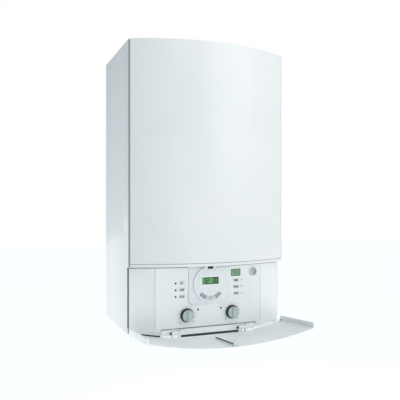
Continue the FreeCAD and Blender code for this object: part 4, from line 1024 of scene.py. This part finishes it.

# strips that follow a bowed face, all painted shade: a dark strip along the left end of the flap's lower
# edge, grey lines along both edges of the cover, wider on the left, and the shade line in the groove of its
# lip
coverLow, coverHigh = boxOf("front_cover")
coverBow = {"half": coverHigh.x, "front": coverLow.y, "bow": 56}
lipShadePlan = {
    "half": 217, "front": -326.5, "bow": 26.5,
    "spans": [(-189, -138)], "steps": 17, "low": -7.9, "high": -6.1, "reach": (-0.4, 3.6),
}
seamShadePlan = {
    **coverBow, "spans": [(coverLow.x + 0.5, coverLow.x + 2.8), (coverHigh.x - 1.3, coverHigh.x - 0.5)],
    "steps": 4, "low": coverLow.z + 1.5, "high": coverHigh.z - 3, "reach": (-0.15, 0.2),
}
groovePlan = {
    **coverBow, "spans": [(coverLow.x + 3, coverHigh.x - 3)],
    "steps": 60, "low": coverLow.z + 8, "high": coverLow.z + 9, "reach": (0.25, 0.75),
}


def bowStrips(plan):
    radius = (plan["half"] ** 2 + plan["bow"] ** 2) / (2 * plan["bow"])
    near, far = plan["reach"]
    corners = ((near, plan["low"]), (far, plan["low"]), (far, plan["high"]), (near, plan["high"]))
    work = bmesh.new()
    for left, right in plan["spans"]:
        loops = []
        for step in range(plan["steps"] + 1):
            x = left + (right - left) * step / plan["steps"]
            y = plan["front"] + radius - math.sqrt(radius ** 2 - x ** 2)
            loops.append(addLoop(work, [(x, y + out, z) for out, z in corners]))
        addForm(work, loops)
    return work


addFlapTrim("flapLip", bowStrips(lipShadePlan))
addMade("coverTrim", bowStrips(seamShadePlan), ["lineGrey"], "casing", "key_grey")
addMade("grooveLine", bowStrips(groovePlan), ["lineGrey"], "casing", "key_grey")

# rubber buffers inside the ends of the flap
bufferPlan = {
    "near": 213.4, "far": 216.9, "front": -299.9, "rear": -297.6, "low": -7, "high": -3, "rounded": 0.3,
}


def addBuffers(plan):
    work = bmesh.new()
    for side in (-1, 1):
        left, right = sorted((side * plan["near"], side * plan["far"]))
        low = (left, plan["front"], plan["low"])
        addBlock(work, low, (right, plan["rear"], plan["high"]), rounded=plan["rounded"])
    addFlapTrim("flapBuffers", work)


addBuffers(bufferPlan)

# heads of the hinge pins, on their left ends, black as painted shade for the shaded left side of each hinge
# knuckle
pinPlan = {
    "head": [(2.5, 0), (2.85, 0.4), (2.85, 3.3), (2.2, 4.1), (0.1, 4.4)],
    "steps": 32, "pinLength": 24, "turn": (0, -90, 0),
}


def addPinHeads(plan):
    head = bmesh.new()
    addTurned(head, plan["head"], plan["steps"])
    low, high = boxOf("hinge_pins")
    ends = (low.x, high.x - plan["pinLength"])
    places = plainPlaces([(x, hinge.y / mm, hinge.z / mm) for x in ends], plan["turn"])
    addPiece("pinHeads", copyMesh(head, "pinHeads", "blackMouldingAndShade", places), "casing", "black_plastic")


addPinHeads(pinPlan)
print("gauge, latch lining, flap trim and pin heads made")

# thin strips: a white filler beside the facia's right edge, and painted shade: black beside its left edge,
# under the hinge rail and down the cover's seams, grey lines along the facia's folds
faciaLow, faciaHigh = boxOf("facia_panel")
foldSide = 151.5
gapAndShadeStrips = {
    "rightEdge": {
        "low": (faciaHigh.x + 0.05, -283.4, faciaLow.z + 1.5),
        "high": (faciaHigh.x + 3.4, -274, faciaHigh.z - 1),
        "finish": "mouldedWhite", "slot": "white_plastic",
    },
    "leftEdge": {
        "low": (faciaLow.x - 3.4, -276, faciaLow.z + 1.5),
        "high": (faciaLow.x - 0.05, -272, faciaHigh.z - 1),
        "finish": "rubberAndShadeBlack", "slot": "black_plastic",
    },
    "hingeEdge": {
        "low": (-82, -287.2, -22.2), "high": (104, -286.02, -9.7),
        "finish": "rubberAndShadeBlack", "slot": "black_plastic",
    },
    "leftSeam": {
        "low": (coverLow.x + 0.7, -302.8, seamShadePlan["low"]),
        "high": (coverLow.x + 1.65, -297.2, seamShadePlan["high"]),
        "finish": "rubberAndShadeBlack", "slot": "black_plastic",
    },
    "rightSeam": {
        "low": (coverHigh.x - 1.65, -302.8, seamShadePlan["low"]),
        "high": (coverHigh.x - 0.7, -297.2, seamShadePlan["high"]),
        "finish": "rubberAndShadeBlack", "slot": "black_plastic",
    },
    "leftFold": {
        "low": (-foldSide - 0.4, faciaLow.y - 0.1, faciaLow.z + 9.5),
        "high": (-foldSide + 0.3, faciaLow.y + 0.2, faciaHigh.z - 2),
        "finish": "lineGrey", "slot": "key_grey",
    },
    "rightFold": {
        "low": (foldSide - 0.3, faciaLow.y - 0.1, faciaLow.z + 9.5),
        "high": (foldSide + 0.4, faciaLow.y + 0.2, faciaHigh.z - 2),
        "finish": "lineGrey", "slot": "key_grey",
    },
}
stripRound = 0.1
for name, plan in gapAndShadeStrips.items():
    strip = bmesh.new()
    addBlock(strip, plan["low"], plan["high"], rounded=stripRound)
    addMade(f"{name}Seal", strip, [plan["finish"]], "casing", plan["slot"])

# pale seal along the top of the facia's cheeks
cheekPlan = {
    "corners": [(149, -302.6), (211.5, -281), (211.5, -275), (149, -296)],
    "low": 165, "high": faciaHigh.z - 0.4,
}


def addCheekSeal(plan):
    work = bmesh.new()
    for side in (-1, 1):
        levels = (plan["low"], plan["high"])
        addForm(work, [addLoop(work, [(side * x, y, z) for x, y in plan["corners"]]) for z in levels])
    addMade("cheekSeal", work, ["mouldedWhite"], "casing", "white_plastic")


addCheekSeal(cheekPlan)

# painted shadow: a dark strip along the facia's upper edge, under the cover's lip
shadePlan = {
    "spans": [
        ((62, faciaLow.y, 167), (foldSide, faciaLow.y, 169.4)),
        ((foldSide, faciaLow.y, 169.4), (214, -284.34, 169.8)),
    ],
    "high": faciaHigh.z - 0.4, "proud": 0.15, "deep": 0.3,
}


def addShade(plan):
    work = bmesh.new()
    high = plan["high"]
    for side in (-1, 1):
        for span in plan["spans"]:
            loops = []
            for x, y, low in span:
                front, back = y - plan["proud"], y + plan["deep"]
                corners = ((front, low), (back, low), (back, high), (front, high))
                loops.append(addLoop(work, [(side * x, depth, z) for depth, z in corners]))
            addForm(work, loops)
    addMade("faciaShade", work, ["lineGrey"], "casing", "key_grey")


addShade(shadePlan)
print("strips and seals made")

# casing screws: domed heads with a cross recess, above the roof and under the tray
screwPlan = {
    "dome": [(5.4, 0), (5.4, 0.7), (4.9, 1.5), (3.9, 2.15), (2.6, 2.45), (0.1, 2.5)],
    "steps": 40,
    "cross": {"long": 3, "wide": 0.55, "low": 1.2, "high": 2.7},
    "sideInset": 4,
    "endInset": 5.5,
}


def makeScrewHead(plan):
    head = bmesh.new()
    addTurned(head, plan["dome"], plan["steps"])
    cutter = bmesh.new()
    cross = plan["cross"]
    for x, y in ((cross["long"], cross["wide"]), (cross["wide"], cross["long"])):
        addBlock(cutter, (-x, -y, cross["low"]), (x, y, cross["high"]))
    blank = bpy.data.objects.new("screwBlank", finishMesh(head, "screwHead", ["zincScrew"]))
    tool = bpy.data.objects.new("screwTool", finishMesh(cutter, "screwTool", ["zincScrew"]))
    addToScene(blank)
    addToScene(tool)
    recess = blank.modifiers.new("recess", "BOOLEAN")
    recess.object = tool
    recess.use_self = True
    work = bmesh.new()
    work.from_mesh(plainMesh(blank))
    bpy.data.objects.remove(blank)
    bpy.data.objects.remove(tool)
    return work


def addScrews(plan):
    low, high = boxOf("case_screws")
    top = boxOf("top_panel")[1].z
    places = []
    for x in (low.x + plan["sideInset"], high.x - plan["sideInset"]):
        for y in (low.y + plan["endInset"], high.y - plan["endInset"]):
            places.append(((x, y, top), (0, 0, x + y)))  # each recess at an angle of its own
            places.append(((x, y, 0), (180, 0, x - y)))
    mesh = copyMesh(makeScrewHead(plan), "casingScrews", "zincScrew", places)
    addPiece("casingScrews", mesh, "casing", "zinc_screw", "case_screws")


addScrews(screwPlan)

# service valves: rounded bodies with hexagon nuts on the tails, and painted levers
valvePlan = {"round": 0.6, "finish": "turnedBrass", "slot": "brass"}
nutPlan = {
    "main": {
        "profile": [(16.6, -4), (17.4, -3.3), (17.4, 3.3), (16.6, 4)],
        "tails": ("flow_tail", "gas_tail", "return_tail"),
    },
    "tap": {
        "profile": [(13, -3.5), (13.8, -2.9), (13.8, 2.9), (13, 3.5)],
        "tails": ("hot_tail", "cold_tail"),
    },
}
nutPlace = {"above": 6.5, "sides": 6, "turn": (0, 0, 30)}
leverRound = 0.8
leverFinish = {"flow": "leverRed", "gas": "leverYellow", "cold": "leverBlue", "return": "leverRed"}


def addNuts(plan, place):
    work = bmesh.new()
    for kind, nutSize in plan.items():
        spots = []
        for mount in frame["record"]["mounts"]:
            if mount["name"] in nutSize["tails"]:
                x, y, z = [value / mm for value in mount["pos_m"]]
                spots.append((x, y, z + place["above"]))
        nut = bmesh.new()
        addTurned(nut, nutSize["profile"], place["sides"])
        join(work, copyMesh(nut, f"{kind}Nuts", "turnedBrass", plainPlaces(spots, place["turn"])))
    addMade("tailNuts", work, ["turnedBrass"], "casing", "brass")


softNode("service_valves", "valveBodies", valvePlan)
addNuts(nutPlan, nutPlace)
for name, finish in leverFinish.items():
    slot = finish.replace("lever", "lever_").lower()
    plan = {"round": leverRound, "finish": finish, "slot": slot}
    softNode(f"{name}_lever", f"{name}Handle", plan, f"{name}_lever")
print("screws, nuts and levers made")

# rubber seals in the mouths of the flue adaptor
sealPlan = {"below": 3, "height": 6, "radii": (49.4, 29.4), "wall": 0.75, "steps": 96}


def addSeals(plan):
    middle = middleOf("flue_adaptor")
    top = boxOf("flue_adaptor")[1].z - plan["below"]
    work = bmesh.new()
    for radius in plan["radii"]:
        addRing(work, radius, radius + plan["wall"], top - plan["height"], top, plan["steps"])
    work.transform(Matrix.Translation((middle.x, middle.y, 0)))
    addMade("flueSeals", work, ["rubberAndShadeBlack"], "casing", "black_plastic")


addSeals(sealPlan)
print("flue seals made")
